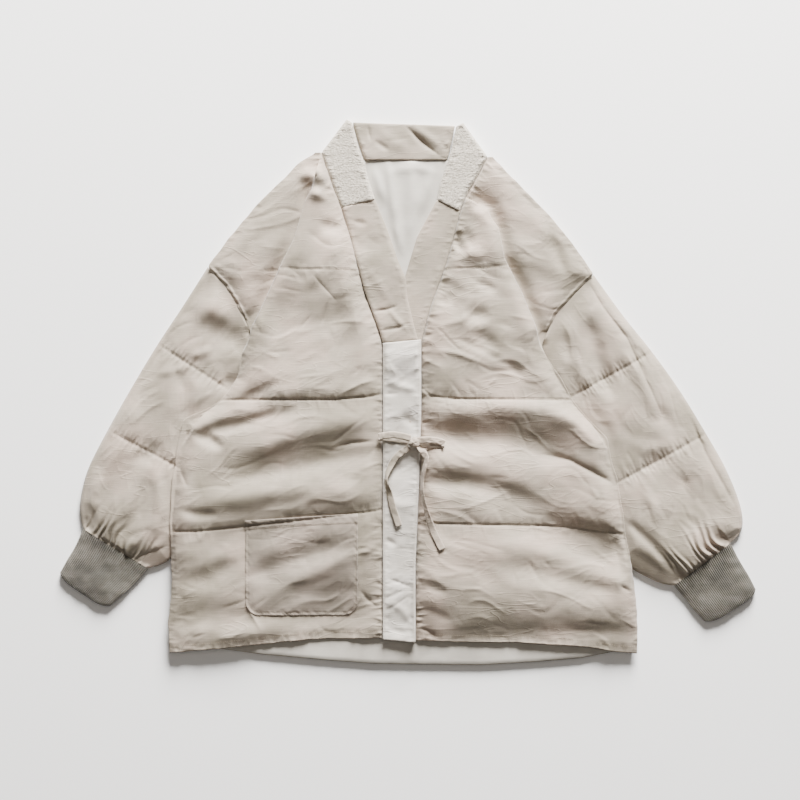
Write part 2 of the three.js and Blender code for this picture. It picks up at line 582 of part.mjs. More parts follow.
/** Plan grid, edges and heights of one front. */
function frontForm({ side, seam, hem, hemLevel, quilt, fold, foldSide, creases, sleeveTop, inward }) {
  const levels = [...new Set([...side, ...seam].map(({ y }) => y))].sort((a, b) => b - a);
  const heights = [levels[0]];
  for (let i = 1; i < levels.length; i += 1) {
    const steps = Math.ceil((levels[i - 1] - levels[i]) / ROW_SPACING);
    for (let step = 1; step <= steps; step += 1) heights.push(mix(levels[i - 1], levels[i], step / steps));
  }
  const plan = heights.map((y) => {
    const a = lookUp(side, 'y', 'x', y);
    const b = lookUp(seam, 'y', 'x', y) - inward * (SEAM_GAP / 2);
    return FRONT_COLUMNS.map((s) => {
      const x = mix(a, b, s);
      const share = clamp((HEM_CURVE_START - y) / (HEM_CURVE_START - hemLevel), 0, 1);
      return [x, y + (lookUp(hem, 'x', 'y', x) - hemLevel) * share];
    });
  });
  const sideEdge = side.map(({ x, y }) => [x, y]);
  const seamEdge = seam.map(({ x, y }) => [x, y]);
  const hemEdge = hem.map(({ x, y }) => [x, y]);
  const height = (x, y) => {
    const quilting = Math.min(...quilt.map((line) => distanceTo(line, x, y)));
    const fromSide = distanceTo(sideEdge, x, y);
    const fromSeam = distanceTo(seamEdge, x, y);
    const folds = y > FOLD_END;
    const overFold = smooth(0.5 + (foldSide * signedDistance(fold, x, y)) / (2 * FOLD_SOFTNESS));
    const chest = folds ? overFold : 1;
    const nearSeam = rise(fromSeam, SEAM_REACH);
    const edges = rise(fromSide, SIDE_REACH) * nearSeam;
    const loft = mix(SHOULDER_PUFF, CHEST_PUFF, chest) * rise(distanceTo(hemEdge, x, y), HEM_REACH);
    const sewn = QUILT_LEFT_OVER + (1 - QUILT_LEFT_OVER) * rise(quilting, QUILT_REACH);
    const folded = mix(edges, Math.max(edges, FOLDED_EDGE * nearSeam), folds ? chest : 0);
    const depth = creaseHeight(creases, x, y) * smooth(fromSide / CREASE_FADE.side);
    const softened = depth * smooth(fromSeam / CREASE_FADE.seam);
    const own = FRONT_FLOOR + SHELL_THICKNESS + loft * sewn * folded + softened;
    return Math.max(own, FRONT_FLOOR + LEAST_THICKNESS, sleeveTop(x, y) + SHELL_THICKNESS);
  };
  const top = plan.map((row) => row.map(([x, y]) => height(x, y)));
  const bottom = plan.map((row) => row.map(() => FRONT_FLOOR));
  return { plan, top, bottom };
}

const SLEEVE_MARGIN = 6; // a front already clears the sleeve this far outside its edge
const UNDERARM_MARGIN = 4;
const NEAR_EDGE = 0.1; // share across the sleeve at which it lies under the front
/** Height of a sleeve at a plan point that it lies under, or 0. */
function sleeveTopUnder(form, seam, handed) {
  return (x, y) => {
    const inside = handed * signedDistance(form.innerEdge, x, y);
    const beyond = handed * signedDistance(seam, x, y);
    const belowSeam = y < seam[seam.length - 1][1] + UNDERARM_MARGIN;
    return inside > -SLEEVE_MARGIN && (belowSeam || beyond > 0) ? form.top(x, y, NEAR_EDGE) : 0;
  };
}

const FRONTS = {
  right: frontForm({
    side: RIGHT_SIDE, seam: RIGHT_BAND_SEAM, hem: RIGHT_HEM, hemLevel: -365, quilt: RIGHT_QUILT,
    fold: RIGHT_FOLD, foldSide: 1, creases: RIGHT_CREASES, inward: 1,
    sleeveTop: sleeveTopUnder(SLEEVE_FORMS.right, ARMHOLES.right, -1),
  }),
  left: frontForm({
    side: LEFT_SIDE, seam: LEFT_BAND_SEAM, hem: LEFT_HEM, hemLevel: -366, quilt: LEFT_QUILT,
    fold: LEFT_FOLD, foldSide: -1, creases: LEFT_CREASES, inward: -1,
    sleeveTop: sleeveTopUnder(SLEEVE_FORMS.left, ARMHOLES.left, 1),
  }),
};

// ---- Back and lining ----
/** Outline of the back: shoulders, armholes, the sleeves' inner edges and the hem. */
function backOutline(hemInset) {
  const clear = 2 * SEAM_GAP;
  const down = (side, rows, seam, hand) => [
    ...armhole(side, NECK_EDGE - clear, seam[seam.length - 1][1]),
    ...rows.slice(0, ROWS_BESIDE_BACK).map(({ inner }) => [inner[0] + hand * clear, inner[1]]),
  ];
  const right = down(RIGHT_SIDE, RIGHT_SLEEVE, ARMHOLES.right, 1);
  const left = down(LEFT_SIDE, LEFT_SLEEVE, ARMHOLES.left, -1);
  const edge = NECK_EDGE - SEAM_GAP;
  const [rightTop, leftTop] = [RIGHT_SIDE, LEFT_SIDE].map((side) => [lookUp(side, 'y', 'x', edge), edge]);
  const hem = BACK_HEM.map(({ x, y }) => [x, y + hemInset]);
  const { right: rightSide, left: leftSide } = LOWER_BACK_SIDE;
  return [rightTop, ...right, ...rightSide, ...hem, ...leftSide, ...left.reverse(), leftTop];
}

// ---- Bands ----
/** The level from which a band's top is measured: its floor, but never below the lining. */
const frontLevel = (floorAt, y) => Math.max(FRONT_FLOOR, floorAt(y));

/** A band over its table of cross-sections, with its edges rounded down. */
function band({
  rows, floorAt, seam, columns = 5, thickness = BAND_THICKNESS, crown = 1.2, startGap = 0,
  spacing = ROW_SPACING,
}) {
  const onSeam = ({ outer: [x, y], inner }) => {
    const seamX = seam && y <= seam[0].y ? lookUp(seam, 'y', 'x', y) : x;
    return { outer: [seamX, y], inner };
  };
  const table = refine(rows, spacing).map(onSeam);
  const plan = table.map((row, r) => {
    const width = Math.hypot(row.outer[0] - row.inner[0], row.outer[1] - row.inner[1]);
    const next = table[Math.min(r + 1, table.length - 1)];
    const toNext = Math.hypot(next.outer[0] - row.outer[0], next.outer[1] - row.outer[1]);
    const drop = r === 0 ? startGap / toNext : 0;
    return Array.from({ length: columns + 1 }, (_, c) => {
      const share = c === 0 ? SEAM_GAP / 2 / width : c / columns;
      const here = between(row.outer, row.inner, share);
      return between(here, between(next.outer, next.inner, share), drop);
    });
  });
  const arch = (c) => crown * (1 - (2 * (c / columns) - 1) ** 4);
  const bottom = plan.map((row) => row.map(([, y]) => floorAt(y)));
  const top = plan.map((row) => (
    row.map(([, y], c) => frontLevel(floorAt, y) + thickness - crown + arch(c))
  ));
  return { plan, top, bottom };
}

const terryFloor = (y) => FRONT_FLOOR * smooth((NECK_STEP.above - y) / (NECK_STEP.above - NECK_STEP.below));
const wrapShare = (y) => (WRAP_LEVELS.starts - y) / (WRAP_LEVELS.starts - WRAP_LEVELS.ends);
const wrapFloor = (y) => mix(FRONT_FLOOR, WRAP_FLOOR, smooth(wrapShare(y)));
const TERRY_FORM = { floorAt: terryFloor, thickness: 5.6, crown: 1.6 }; // the terry's loops are thicker
const BANDS = {
  rightTerry: band({ rows: RIGHT_TERRY, seam: RIGHT_BAND_SEAM, ...TERRY_FORM }),
  rightBand: band({ rows: RIGHT_BAND, seam: RIGHT_BAND_SEAM, floorAt: wrapFloor, startGap: SEAM_GAP }),
  leftTerry: band({ rows: LEFT_TERRY, seam: LEFT_BAND_SEAM, ...TERRY_FORM }),
  leftBand: band({
    rows: LEFT_BAND, seam: LEFT_BAND_SEAM, floorAt: () => FRONT_FLOOR, columns: 4, crown: 0.6,
    startGap: SEAM_GAP, spacing: 26,
  }),
};

// Heights of the placket's cross-sections; its slanted ends drop or rise towards the inner edge.
const PLACKET_LEVELS = [
  { y: 69, slant: 5 }, { y: 40, slant: 0 }, { y: -24, slant: 0 }, { y: -60, slant: 0 },
  { y: -100, slant: 0 }, { y: -125, slant: 0 }, { y: -160, slant: 0 }, { y: -200, slant: 0 },
  { y: -240, slant: 0 }, { y: -280, slant: 0 }, { y: -310, slant: 0 }, { y: -330, slant: 0 },
  { y: -346, slant: -4 },
];
const PLACKET_EDGE = -35;

/** The placket: from the end of the right band to the hem, over the left band. */
function placketForm() {
  const rows = PLACKET_LEVELS.map(({ y, slant }) => ({
    outer: [PLACKET_EDGE, y - SEAM_GAP],
    inner: [lookUp(LEFT_BAND_SEAM, 'y', 'x', y) - SEAM_GAP, y + slant - SEAM_GAP],
  }));
  return band({ rows, floorAt: () => WRAP_FLOOR, crown: 0.8, spacing: 30 });
}
const PLACKET_FORM = placketForm();

// ---- Pocket ----
const POCKET_OUTLINE = { left: -227, right: -70, leftTop: -179, rightTop: -169, bottom: -312, radius: 20 };

const POCKET_GRID = { above: -150, below: -335, from: 5, to: 15 }; // part of the panel's grid around it
/** The pocket lies on the right front: its points are that panel's points, moved out. */
function pocket() {
  const { plan, top } = FRONTS.right;
  const { above, below, from, to } = POCKET_GRID;
  const rows = plan.flatMap((row, r) => (row[from][1] < above && row[from][1] > below ? [r] : []));
  const pick = (grid) => rows.map((r) => grid[r].slice(from, to));
  const lifted = pick(top).map((row) => row.map((z) => z + SEAM_GAP));
  const raised = pick(top).map((row) => row.map((z) => z + SEAM_GAP + POCKET_THICKNESS));
  const sheet = slab({ plan: pick(plan), top: raised, bottom: lifted });
  const { left, right, leftTop, rightTop, bottom, radius } = POCKET_OUTLINE;
  const shape = new THREE.Shape();
  shape.moveTo(left, leftTop);
  shape.lineTo(left, bottom + radius);
  shape.absarc(left + radius, bottom + radius, radius, Math.PI, 1.5 * Math.PI, false);
  shape.lineTo(right - radius, bottom);
  shape.absarc(right - radius, bottom + radius, radius, 1.5 * Math.PI, 2 * Math.PI, false);
  shape.lineTo(right, rightTop);
  const prism = new THREE.ExtrudeGeometry(shape, { depth: 100, bevelEnabled: false, curveSegments: 4 });
  return fromSolid(solid(sheet).intersect(solid(prism)));
}

// ---- Tie ----
const TIE_BASE = [FRONTS.right, FRONTS.left, PLACKET_FORM]; // what the tie lies on

const LARGEST_FACE = 40;

/** Height of the highest surface at a plan point, on the slabs' own top faces. */
function surfaceHeight(x, y) {
  let best = 0;
  for (const { plan, top } of TIE_BASE) {
    for (let r = 1; r < plan.length; r += 1) {
      for (let c = 1; c < plan[0].length; c += 1) {
        const corners = [[r - 1, c - 1], [r - 1, c], [r, c], [r, c - 1]];
        const away = corners.map(([i, j]) => Math.hypot(plan[i][j][0] - x, plan[i][j][1] - y));
        if (Math.min(...away) < LARGEST_FACE) {
          best = Math.max(best, faceHeight(plan, top, [corners[0], corners[1], corners[2]], x, y));
          best = Math.max(best, faceHeight(plan, top, [corners[0], corners[2], corners[3]], x, y));
        }
      }
    }
  }
  return best;
}

/** Height of one triangle at a plan point, or 0 where the point is outside it. */
function faceHeight(plan, top, face, x, y) {
  const [a, b, c] = face.map(([r, k]) => [...plan[r][k], top[r][k]]);
  const area = (b[0] - a[0]) * (c[1] - a[1]) - (c[0] - a[0]) * (b[1] - a[1]);
  const v = ((x - a[0]) * (c[1] - a[1]) - (c[0] - a[0]) * (y - a[1])) / area;
  const w = ((b[0] - a[0]) * (y - a[1]) - (x - a[0]) * (b[1] - a[1])) / area;
  return v >= -0.01 && w >= -0.01 && v + w <= 1.01 ? a[2] + v * (b[2] - a[2]) + w * (c[2] - a[2]) : 0;
}

const TIE_CLEARANCE = 0.4;
const TIE_PATCH = [-7, -3.5, 0, 3.5, 7]; // a little wider than the tie
/** Height that clears the surface under a small square around a point. */
function restHeight(x, y) {
  let best = 0;
  for (const dx of TIE_PATCH) {
    for (const dy of TIE_PATCH) best = Math.max(best, surfaceHeight(x + dx, y + dy));
  }
  return best + TIE_CLEARANCE;
}

// Ribbons of the tie: the middle of each section, how far it stands over what is under it,
// and the direction of its width in degrees from +X.
const TIE_PIECES = {
  tie_right_loop: [
    { x: 2, y: -64, rise: 8, width: 100 }, { x: -8, y: -61, rise: 9.5, width: 102 },
    { x: -20, y: -59, rise: 9, width: 95 }, { x: -31, y: -60, rise: 7.5, width: 88 },
    { x: -38, y: -61, rise: 5.5, width: 85 }, { x: -40, y: -62, rise: 3.2, width: 85 },
    { x: -37, y: -63, rise: 1.2, width: 86 }, { x: -28, y: -64, rise: 0.3, width: 88 },
    { x: -14, y: -66, rise: 0.3, width: 95 }, { x: 0, y: -68, rise: 0.3, width: 98 },
  ],
  tie_left_loop: [
    { x: 16, y: -67, rise: 7, width: 86 }, { x: 26, y: -66, rise: 7.5, width: 86 },
    { x: 37, y: -67, rise: 6, width: 84 }, { x: 46, y: -69, rise: 4.6, width: 82 },
    { x: 50, y: -71, rise: 3.2, width: 80 }, { x: 49, y: -72, rise: 1.4, width: 80 },
    { x: 43, y: -73, rise: 0.4, width: 82 }, { x: 32, y: -73, rise: 0.3, width: 86 },
    { x: 18, y: -72, rise: 0.3, width: 90 },
  ],
  tie_right_tail: [
    { x: -3, y: -80, rise: 0, width: 20 }, { x: -14, y: -88, rise: 0, width: 30 },
    { x: -22, y: -99, rise: 0, width: 20 }, { x: -28, y: -118, rise: 0, width: 5 },
    { x: -28, y: -136, rise: 0, width: 0 }, { x: -25, y: -153, rise: 0, width: 8 },
    { x: -19, y: -172, rise: 0, width: 18 }, { x: -12, y: -187, rise: 0, width: 22 },
  ],
  tie_left_tail: [
    { x: 20, y: -82, rise: 0, width: -30 }, { x: 26, y: -93, rise: 0, width: -8 },
    { x: 23, y: -106, rise: 0, width: 8 }, { x: 20, y: -125, rise: 0, width: 0 },
    { x: 22, y: -142, rise: 0, width: 6 }, { x: 24, y: -158, rise: 0, width: 8 },
    { x: 28, y: -176, rise: 0, width: 18 }, { x: 37, y: -197, rise: 0, width: 24 },
    { x: 48, y: -219, rise: 0, width: 26 },
  ],
};
const TIE_STEPS = 2; // sections between two rows
const KNOT = { x: 9, y: -70, lift: 5.6, halfX: 9, halfY: 9, halfZ: 5.4 };

/** A flat strap through its sections. */
function strap(rows) {
  const count = (rows.length - 1) * TIE_STEPS;
  const sections = Array.from({ length: count + 1 }, (_, i) => {
    const at = Math.min(Math.floor(i / TIE_STEPS), rows.length - 2);
    const t = i / TIE_STEPS - at;
    const value = (key) => mix(rows[at][key], rows[at + 1][key], t);
    const angle = THREE.MathUtils.degToRad(value('width'));
    const across = new THREE.Vector3(Math.cos(angle), Math.sin(angle), 0);
    const z = restHeight(value('x'), value('y')) + value('rise') + TIE_THICKNESS / 2;
    return { centre: new THREE.Vector3(value('x'), value('y'), z), across };
  });
  const points = [];
  sections.forEach(({ centre, across }, i) => {
    const before = sections[Math.max(i - 1, 0)].centre;
    const after = sections[Math.min(i + 1, count)].centre;
    const along = after.clone().sub(before).normalize();
    const side = across.clone().addScaledVector(along, -across.dot(along)).normalize();
    const normal = along.clone().cross(side);
    for (const [w, n] of [[-1, -1], [1, -1], [1, 1], [-1, 1]]) {
      const corner = centre.clone().addScaledVector(side, (w * TIE_WIDTH) / 2);
      points.push(corner.addScaledVector(normal, (n * TIE_THICKNESS) / 2).toArray());
    }
  });
  const triangles = [];
  for (let i = 0; i < count; i += 1) {
    for (let k = 0; k < 4; k += 1) {
      const [a, b] = [i * 4 + k, i * 4 + ((k + 1) % 4)];
      triangles.push([a, b, b + 4], [a, b + 4, a + 4]);
    }
  }
  const end = count * 4;
  triangles.push([0, 2, 1], [0, 3, 2], [end, end + 1, end + 2], [end, end + 2, end + 3]);
  return closedGeometry(points, triangles);
}

/** The knot's rounded body, larger all round by a margin. */
function knot(margin) {
  const geometry = new THREE.SphereGeometry(1, 14, 8);
  geometry.scale(KNOT.halfX + margin, KNOT.halfY + margin, KNOT.halfZ + margin);
  geometry.translate(KNOT.x, KNOT.y, surfaceHeight(KNOT.x, KNOT.y) + KNOT.lift + TIE_CLEARANCE);
  return geometry;
}

// ---- The garment ----
const garment = new THREE.Group();

/** Adds one named piece with its cloth. */
function piece(name, geometry, cloth) {
  const mesh = new THREE.Mesh(geometry, new THREE.MeshStandardMaterial(cloth));
  mesh.name = name;
  garment.add(mesh);
}

const rooms = Object.values(SLEEVE_FORMS).map((form) => sleeveRoom(form, SLEEVE_COLUMNS, SEAM_GAP));
piece('back', plate(backOutline(0), 0, BACK_THICKNESS), SHELL);
piece('back_lining', plate(backOutline(1), BACK_THICKNESS + SEAM_GAP, LINING_TOP), LINING);
piece('right_front', cutBy(slab(FRONTS.right), rooms[0]), SHELL);
piece('left_front', cutBy(slab(FRONTS.left), rooms[1]), SHELL);
piece('right_sleeve', sleeve(SLEEVE_FORMS.right), SHELL);
piece('left_sleeve', sleeve(SLEEVE_FORMS.left), SHELL);
piece('right_cuff', cuff(RIGHT_CUFF), RIB_KNIT);
piece('left_cuff', cuff(LEFT_CUFF), RIB_KNIT);
piece('back_neck_band', plate(NECK_BAND, 0, NECK_BAND_HEIGHT), SHELL);
piece('right_band_terry', slab(BANDS.rightTerry), TERRY);
piece('right_band', slab(BANDS.rightBand), SHELL);
piece('left_band_terry', slab(BANDS.leftTerry), TERRY);
piece('left_band', slab(BANDS.leftBand), SHELL);
piece('placket', slab(PLACKET_FORM), PLACKET);
piece('pocket', pocket(), SHELL);
piece('tie_knot', knot(0), SHELL);
for (const [name, rows] of Object.entries(TIE_PIECES)) {
  piece(name, cutBy(strap(rows), knot(SEAM_GAP)), SHELL);
}

// The origin is the middle of the garment's box on the floor.
const box = new THREE.Box3().setFromObject(garment);
const middle = box.getCenter(new THREE.Vector3());
garment.position.set(-middle.x, -middle.y, -box.min.z);

export default garment;
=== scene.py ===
"""A lightly padded wrap jacket in the hanten style, laid flat on its back with its front up.

Sizes are in millimetres, as a pattern cutter writes them, and become metres when a mesh is made.
+X points to the wearer's left, +Y to the collar and +Z up. Every piece of cloth is a fine skin
over its solid in the frame: its outline and loft follow the pattern tables, and the main folds
are laid in the tables of creases.
"""

import logging
import math
from dataclasses import dataclass
from enum import Enum
from typing import Callable, ClassVar, NamedTuple, Optional, Sequence

import bpy
import numpy as np
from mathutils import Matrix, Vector
from mathutils.bvhtree import BVHTree


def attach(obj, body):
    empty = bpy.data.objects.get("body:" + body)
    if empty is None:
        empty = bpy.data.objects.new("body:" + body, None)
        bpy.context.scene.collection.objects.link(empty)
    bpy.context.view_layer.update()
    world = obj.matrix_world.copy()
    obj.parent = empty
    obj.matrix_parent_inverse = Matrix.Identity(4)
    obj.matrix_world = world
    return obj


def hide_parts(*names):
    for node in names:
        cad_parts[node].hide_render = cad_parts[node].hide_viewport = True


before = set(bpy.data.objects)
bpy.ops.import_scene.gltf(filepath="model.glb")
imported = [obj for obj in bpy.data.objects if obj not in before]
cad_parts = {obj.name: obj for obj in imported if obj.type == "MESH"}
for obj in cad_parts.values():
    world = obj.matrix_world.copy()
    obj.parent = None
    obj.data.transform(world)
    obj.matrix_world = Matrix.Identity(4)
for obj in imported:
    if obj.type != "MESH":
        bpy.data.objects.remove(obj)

log = logging.getLogger("jacket")
Array = np.ndarray
Line = Sequence[tuple[float, float]]
MM = 0.001

# ---- Levels and lofts in mm: what lies on what, and how full the padding is ----
SEAM_GAP = 0.3
BACK_THICKNESS = 6.0
LINING_TOP = 7.6
FRONT_FLOOR = 7.9
BAND_THICKNESS = 4.2
WRAP_FLOOR = 12.4
SHELL_THICKNESS = 4.8
CHEST_PUFF = 15.0
SHOULDER_PUFF = 7.0
FOLD_OVERHANG = 8.0
SLEEVE_EDGE_HEIGHT = 6.0
SLEEVE_LOFT = 12.0
SLEEVE_REACH = 45.0
ARMHOLE_LEVEL = 12.9
CUFF_HEIGHT = 9.5
NECK_BAND_HEIGHT = 8.5
TIE_WIDTH = 10.0
PUFF_ROUNDNESS = 0.8
SLEEVE_CLEARANCE = 3.0

# ---- Where the pocket and the knot lie ----
POCKET_LEFT = -227.0
POCKET_RIGHT = -70.0
POCKET_BOTTOM = -312.0
POCKET_RADIUS = 20.0
KNOT_AT = (9.0, -70.0)

# ---- How a crease is laid ----
SHORT_CREASE = 90.0
# The share of its length over which a crease fades, and how much of it is there at its very end.
SHORT_FADE = (0.46, 0.1)
LONG_FADE = (0.3, 0.25)
# The share of its width that a crease keeps at its ends, and how fast a sharp one falls away.
END_WIDTH_KEPT = 0.65
SHARP_FALL = 1.4


class Edge(NamedTuple):
    """One row of an outline: the edge's x at a height y."""

    y: float
    x: float


class Section(NamedTuple):
    """One cross-section of a band, sleeve or cuff, between two plan points."""

    outer: tuple[float, float]
    inner: tuple[float, float]


class Fold(Enum):
    """How a crease stands in the cloth."""

    SOFT = "soft"
    SHARP = "sharp"


@dataclass(frozen=True)
class Crease:
    """One crease laid in the cloth.

    Attributes:
        line: its line in plan.
        depth: how far it stands over the cloth or, negative, sinks into it.
        width: how far its flanks reach at its start.
        fold: whether its bottom is soft or sharp.
        end_width: how far its flanks reach at its end, the same as at its start if 0.
        end_depth: its depth at its end, the same as at its start if 0.
        lean: how much wider the flank on the right of its direction is than the one on its left.
    """

    line: Line
    depth: float
    width: float
    fold: Fold = Fold.SOFT
    end_width: float = 0.0
    end_depth: float = 0.0
    lean: float = 0.0


RIGHT_SIDE = (
    Edge(337, -126), Edge(323, -151), Edge(298, -175), Edge(268, -207), Edge(218, -249),
    Edge(176, -281), Edge(149, -254), Edge(122, -238), Edge(83, -219), Edge(59, -231),
    Edge(20, -239), Edge(-10, -260), Edge(-24, -282), Edge(-36, -313), Edge(-75, -322),
    Edge(-122, -329), Edge(-180, -333), Edge(-234, -331), Edge(-279, -331), Edge(-324, -336),
    Edge(-365, -334),
)
LEFT_SIDE = (
    Edge(331, 117), Edge(290, 157), Edge(250, 197), Edge(213, 227), Edge(165, 261),
    Edge(150, 244), Edge(136, 231), Edge(110, 207), Edge(92, 199), Edge(66, 187),
    Edge(48, 195), Edge(19, 215), Edge(-9, 229), Edge(-36, 251), Edge(-65, 280),
    Edge(-89, 283), Edge(-125, 294), Edge(-170, 301), Edge(-211, 307), Edge(-240, 313),
    Edge(-290, 320), Edge(-331, 322), Edge(-366, 321),
)
RIGHT_BAND_SEAM = (
    Edge(337, -121), Edge(297, -108), Edge(259, -93), Edge(215, -80), Edge(174, -69),
    Edge(143, -61), Edge(118, -52), Edge(86, -40), Edge(69, -35), Edge(-365, -35),
)
LEFT_BAND_SEAM = (
    Edge(331, 112), Edge(317, 105), Edge(298, 95), Edge(284, 86), Edge(254, 73),
    Edge(235, 69), Edge(178, 53), Edge(126, 34), Edge(94, 25), Edge(70, 19),
    Edge(-24, 19), Edge(-125, 16), Edge(-240, 11), Edge(-366, 11),
)
RIGHT_HEM = ((-334, -365), (-276, -360), (-227, -355), (-171, -349), (-126, -345), (-35, -344))
LEFT_HEM = ((11, -347), (82, -350), (152, -350), (222, -354), (261, -358), (289, -363), (321, -366))
BACK_HEM = (
    (-330, -354), (-271, -359), (-204, -368), (-116, -376), (-49, -381), (13, -382),
    (105, -383), (187, -378), (244, -373), (279, -366), (318, -358),
)
RIGHT_ARMHOLE = tuple((edge.x, edge.y) for edge in RIGHT_SIDE[5:9])
LEFT_ARMHOLE = tuple((edge.x, edge.y) for edge in LEFT_SIDE[4:10])
RIGHT_SLEEVE = (
    Section((-316, 121), (-213, 43)), Section((-351, 68), (-238, -5)),
    Section((-386, 10), (-294, -61)), Section((-421, -52), (-304, -114)),
    Section((-449, -108), (-308, -164)), Section((-460, -153), (-313, -206)),
    Section((-459, -176), (-336, -236)), Section((-456, -191), (-364, -247)),
)
LEFT_SLEEVE = (
    Section((303, 107), (189, 23)), Section((343, 57), (212, -16)),
    Section((383, 1), (256, -64)), Section((419, -58), (272, -138)),
    Section((447, -108), (282, -190)), Section((467, -159), (298, -234)),
    Section((469, -192), (346, -264)), Section((453, -211), (374, -271)),
)
RIGHT_CUFF = (
    RIGHT_SLEEVE[-1], Section((-467, -216), (-383, -268)),
    Section((-481, -239), (-404, -288)), Section((-492, -257), (-421, -304)),
)
LEFT_CUFF = (
    LEFT_SLEEVE[-1], Section((466, -236), (390, -290)),
    Section((480, -259), (404, -308)), Section((492, -281), (420, -326)),
)
RIGHT_TERRY = (
    Section((-86, 383), (-78, 378)), Section((-110, 351), (-69, 345)),
    Section((-121, 337), (-64, 331)), Section((-118, 326), (-62, 326)),
    Section((-108, 297), (-55, 298)), Section((-93, 259), (-46, 271)),
)
RIGHT_BAND = (
    RIGHT_TERRY[-1], Section((-80, 215), (-29, 229)),
    Section((-69, 174), (-13, 183)), Section((-61, 143), (-3, 161)),
    Section((-52, 118), (-1, 134)), Section((-40, 86), (9, 92)), Section((-35, 69), (14, 74)),
)
LEFT_TERRY = (
    Section((78, 378), (68, 373)), Section((98, 350), (62, 345)), Section((112, 331), (58, 331)),
    Section((110, 326), (56, 326)), Section((105, 317), (54, 318)), Section((95, 298), (47, 298)),
    Section((86, 284), (44, 285)), Section((73, 254), (41, 270)),
)
LEFT_BAND = (
    LEFT_TERRY[-1], Section((69, 235), (13, 218)), Section((53, 178), (-3, 165)),
    Section((34, 126), (-14, 120)), Section((25, 94), (-24, 92)), Section((19, 70), (-30, 70)),
    Section((19, -24), (-30, -24)), Section((16, -125), (-31, -125)),
    Section((11, -240), (-31, -240)), Section((11, -347), (-31, -344)),
)
PLACKET = (
    Section((-35, 69), (18.5, 74)), Section((-35, 40), (18.7, 40)), Section((-35, -24), (18.7, -24)),
    Section((-35, -125), (15.7, -125)), Section((-35, -240), (10.7, -240)),
    Section((-35, -330), (10.7, -332)), Section((-35, -346), (10.7, -350)),
)
NECK_BAND = (
    Section((-77, 379), (66, 374)), Section((-76, 372), (65, 368)), Section((-63, 331), (57, 331)),
    Section((-61, 326), (55, 326)),
)

RIGHT_QUILT = (
    ((-200, 171), (-133, 172), (-69, 171)),
    ((-262, -10), (-197, -10), (-102, -10), (-55, -6), (-33, -1)),
    ((-335, -194), (-294, -194), (-232, -188), (-127, -176), (-65, -168), (-34, -164)),
)
LEFT_QUILT = (
    ((53, 173), (102, 174), (150, 176)),
    ((19, 7), (32, -5), (68, -9), (217, -10), (241, -10)),
    ((9, -178), (41, -183), (122, -185), (202, -187), (256, -192), (308, -199)),
)
RIGHT_FOLD = (
    (-130, 300), (-141, 255), (-154, 212), (-175, 171), (-198, 120), (-218, 80), (-262, 10),
)
LEFT_FOLD = (
    (100, 262), (112, 255), (122, 227), (130, 186), (154, 139), (173, 92), (188, 62), (232, -6),
)

RIGHT_CREASES = (
    Crease(((-158, 306), (-128, 303), (-104, 295)), 9.5, 12),
    Crease(((-142, 285), (-110, 268)), 5.5, 8), Crease(((-125, 236), (-90, 226)), -4.0, 9),
    Crease(((-134, 166), (-120, 150), (-98, 126)), -1.5, 4, Fold.SHARP),
    Crease(((-156, 84), (-131, 112)), -1.2, 3, Fold.SHARP),
    Crease(((-122, 90), (-111, 126)), -1.4, 3, Fold.SHARP),
    Crease(((-105, 56), (-56, 98)), -1.8, 12),
    Crease(((-205, 100), (-130, 104), (-75, 112)), -7.5, 32),
    Crease(((-215, 12), (-140, 16), (-70, 22)), 3.5, 26),
    Crease(((-98, -4), (-66, 12), (-36, 20)), 3.0, 6, Fold.SHARP),
    Crease(((-242, -14), (-210, 2), (-177, 14)), -4.5, 9),
    Crease(((-290, -54), (-240, -46), (-196, -34), (-150, -24)), -8.0, 10, end_depth=-4.0),
    Crease(((-302, -58), (-278, -64), (-256, -80)), -7.0, 9),
    Crease(((-40, -36), (-88, -42), (-137, -55), (-185, -70), (-246, -84)), 4.0, 15, end_depth=5.5),
    Crease(((-36, -84), (-95, -89), (-151, -99), (-214, -114), (-286, -134)), -7.5, 19,
           end_width=25, end_depth=-9.0, lean=0.15),
    Crease(((-46, -68), (-78, -70), (-106, -78)), -3.0, 4, Fold.SHARP),
    Crease(((-286, -140), (-184, -140), (-120, -137), (-82, -142), (-44, -142)), 5.0, 18,
           end_depth=3.0),
    Crease(((-316, -206), (-212, -202), (-156, -198), (-92, -190)), -4.0, 34),
    Crease(((-322, -164), (-296, -170), (-262, -170)), -4.0, 8),
    Crease(((-323, -98), (-307, -134)), -2.5, 4, Fold.SHARP),
    Crease(((-318, -268), (-275, -258), (-236, -234)), -5.0, 15),
    Crease(((-332, -312), (-220, -314), (-40, -306)), -3.0, 24),
    Crease(((-226, -262), (-160, -236), (-95, -210)), -7.5, 15),
    Crease(((-195, -284), (-150, -260), (-95, -236), (-68, -228)), 3.0, 11),
    Crease(((-172, -280), (-120, -280), (-66, -274)), -2.5, 13),
    Crease(((-228, -292), (-218, -312), (-205, -334)), 2.5, 4, Fold.SHARP),
    Crease(((-68, -275), (-56, -290), (-42, -301)), -3.0, 6, Fold.SHARP),
    Crease(((-70, -226), (-40, -214)), 2.0, 5),
    Crease(((-326, -338), (-220, -334), (-150, -326)), 3.0, 12),
)
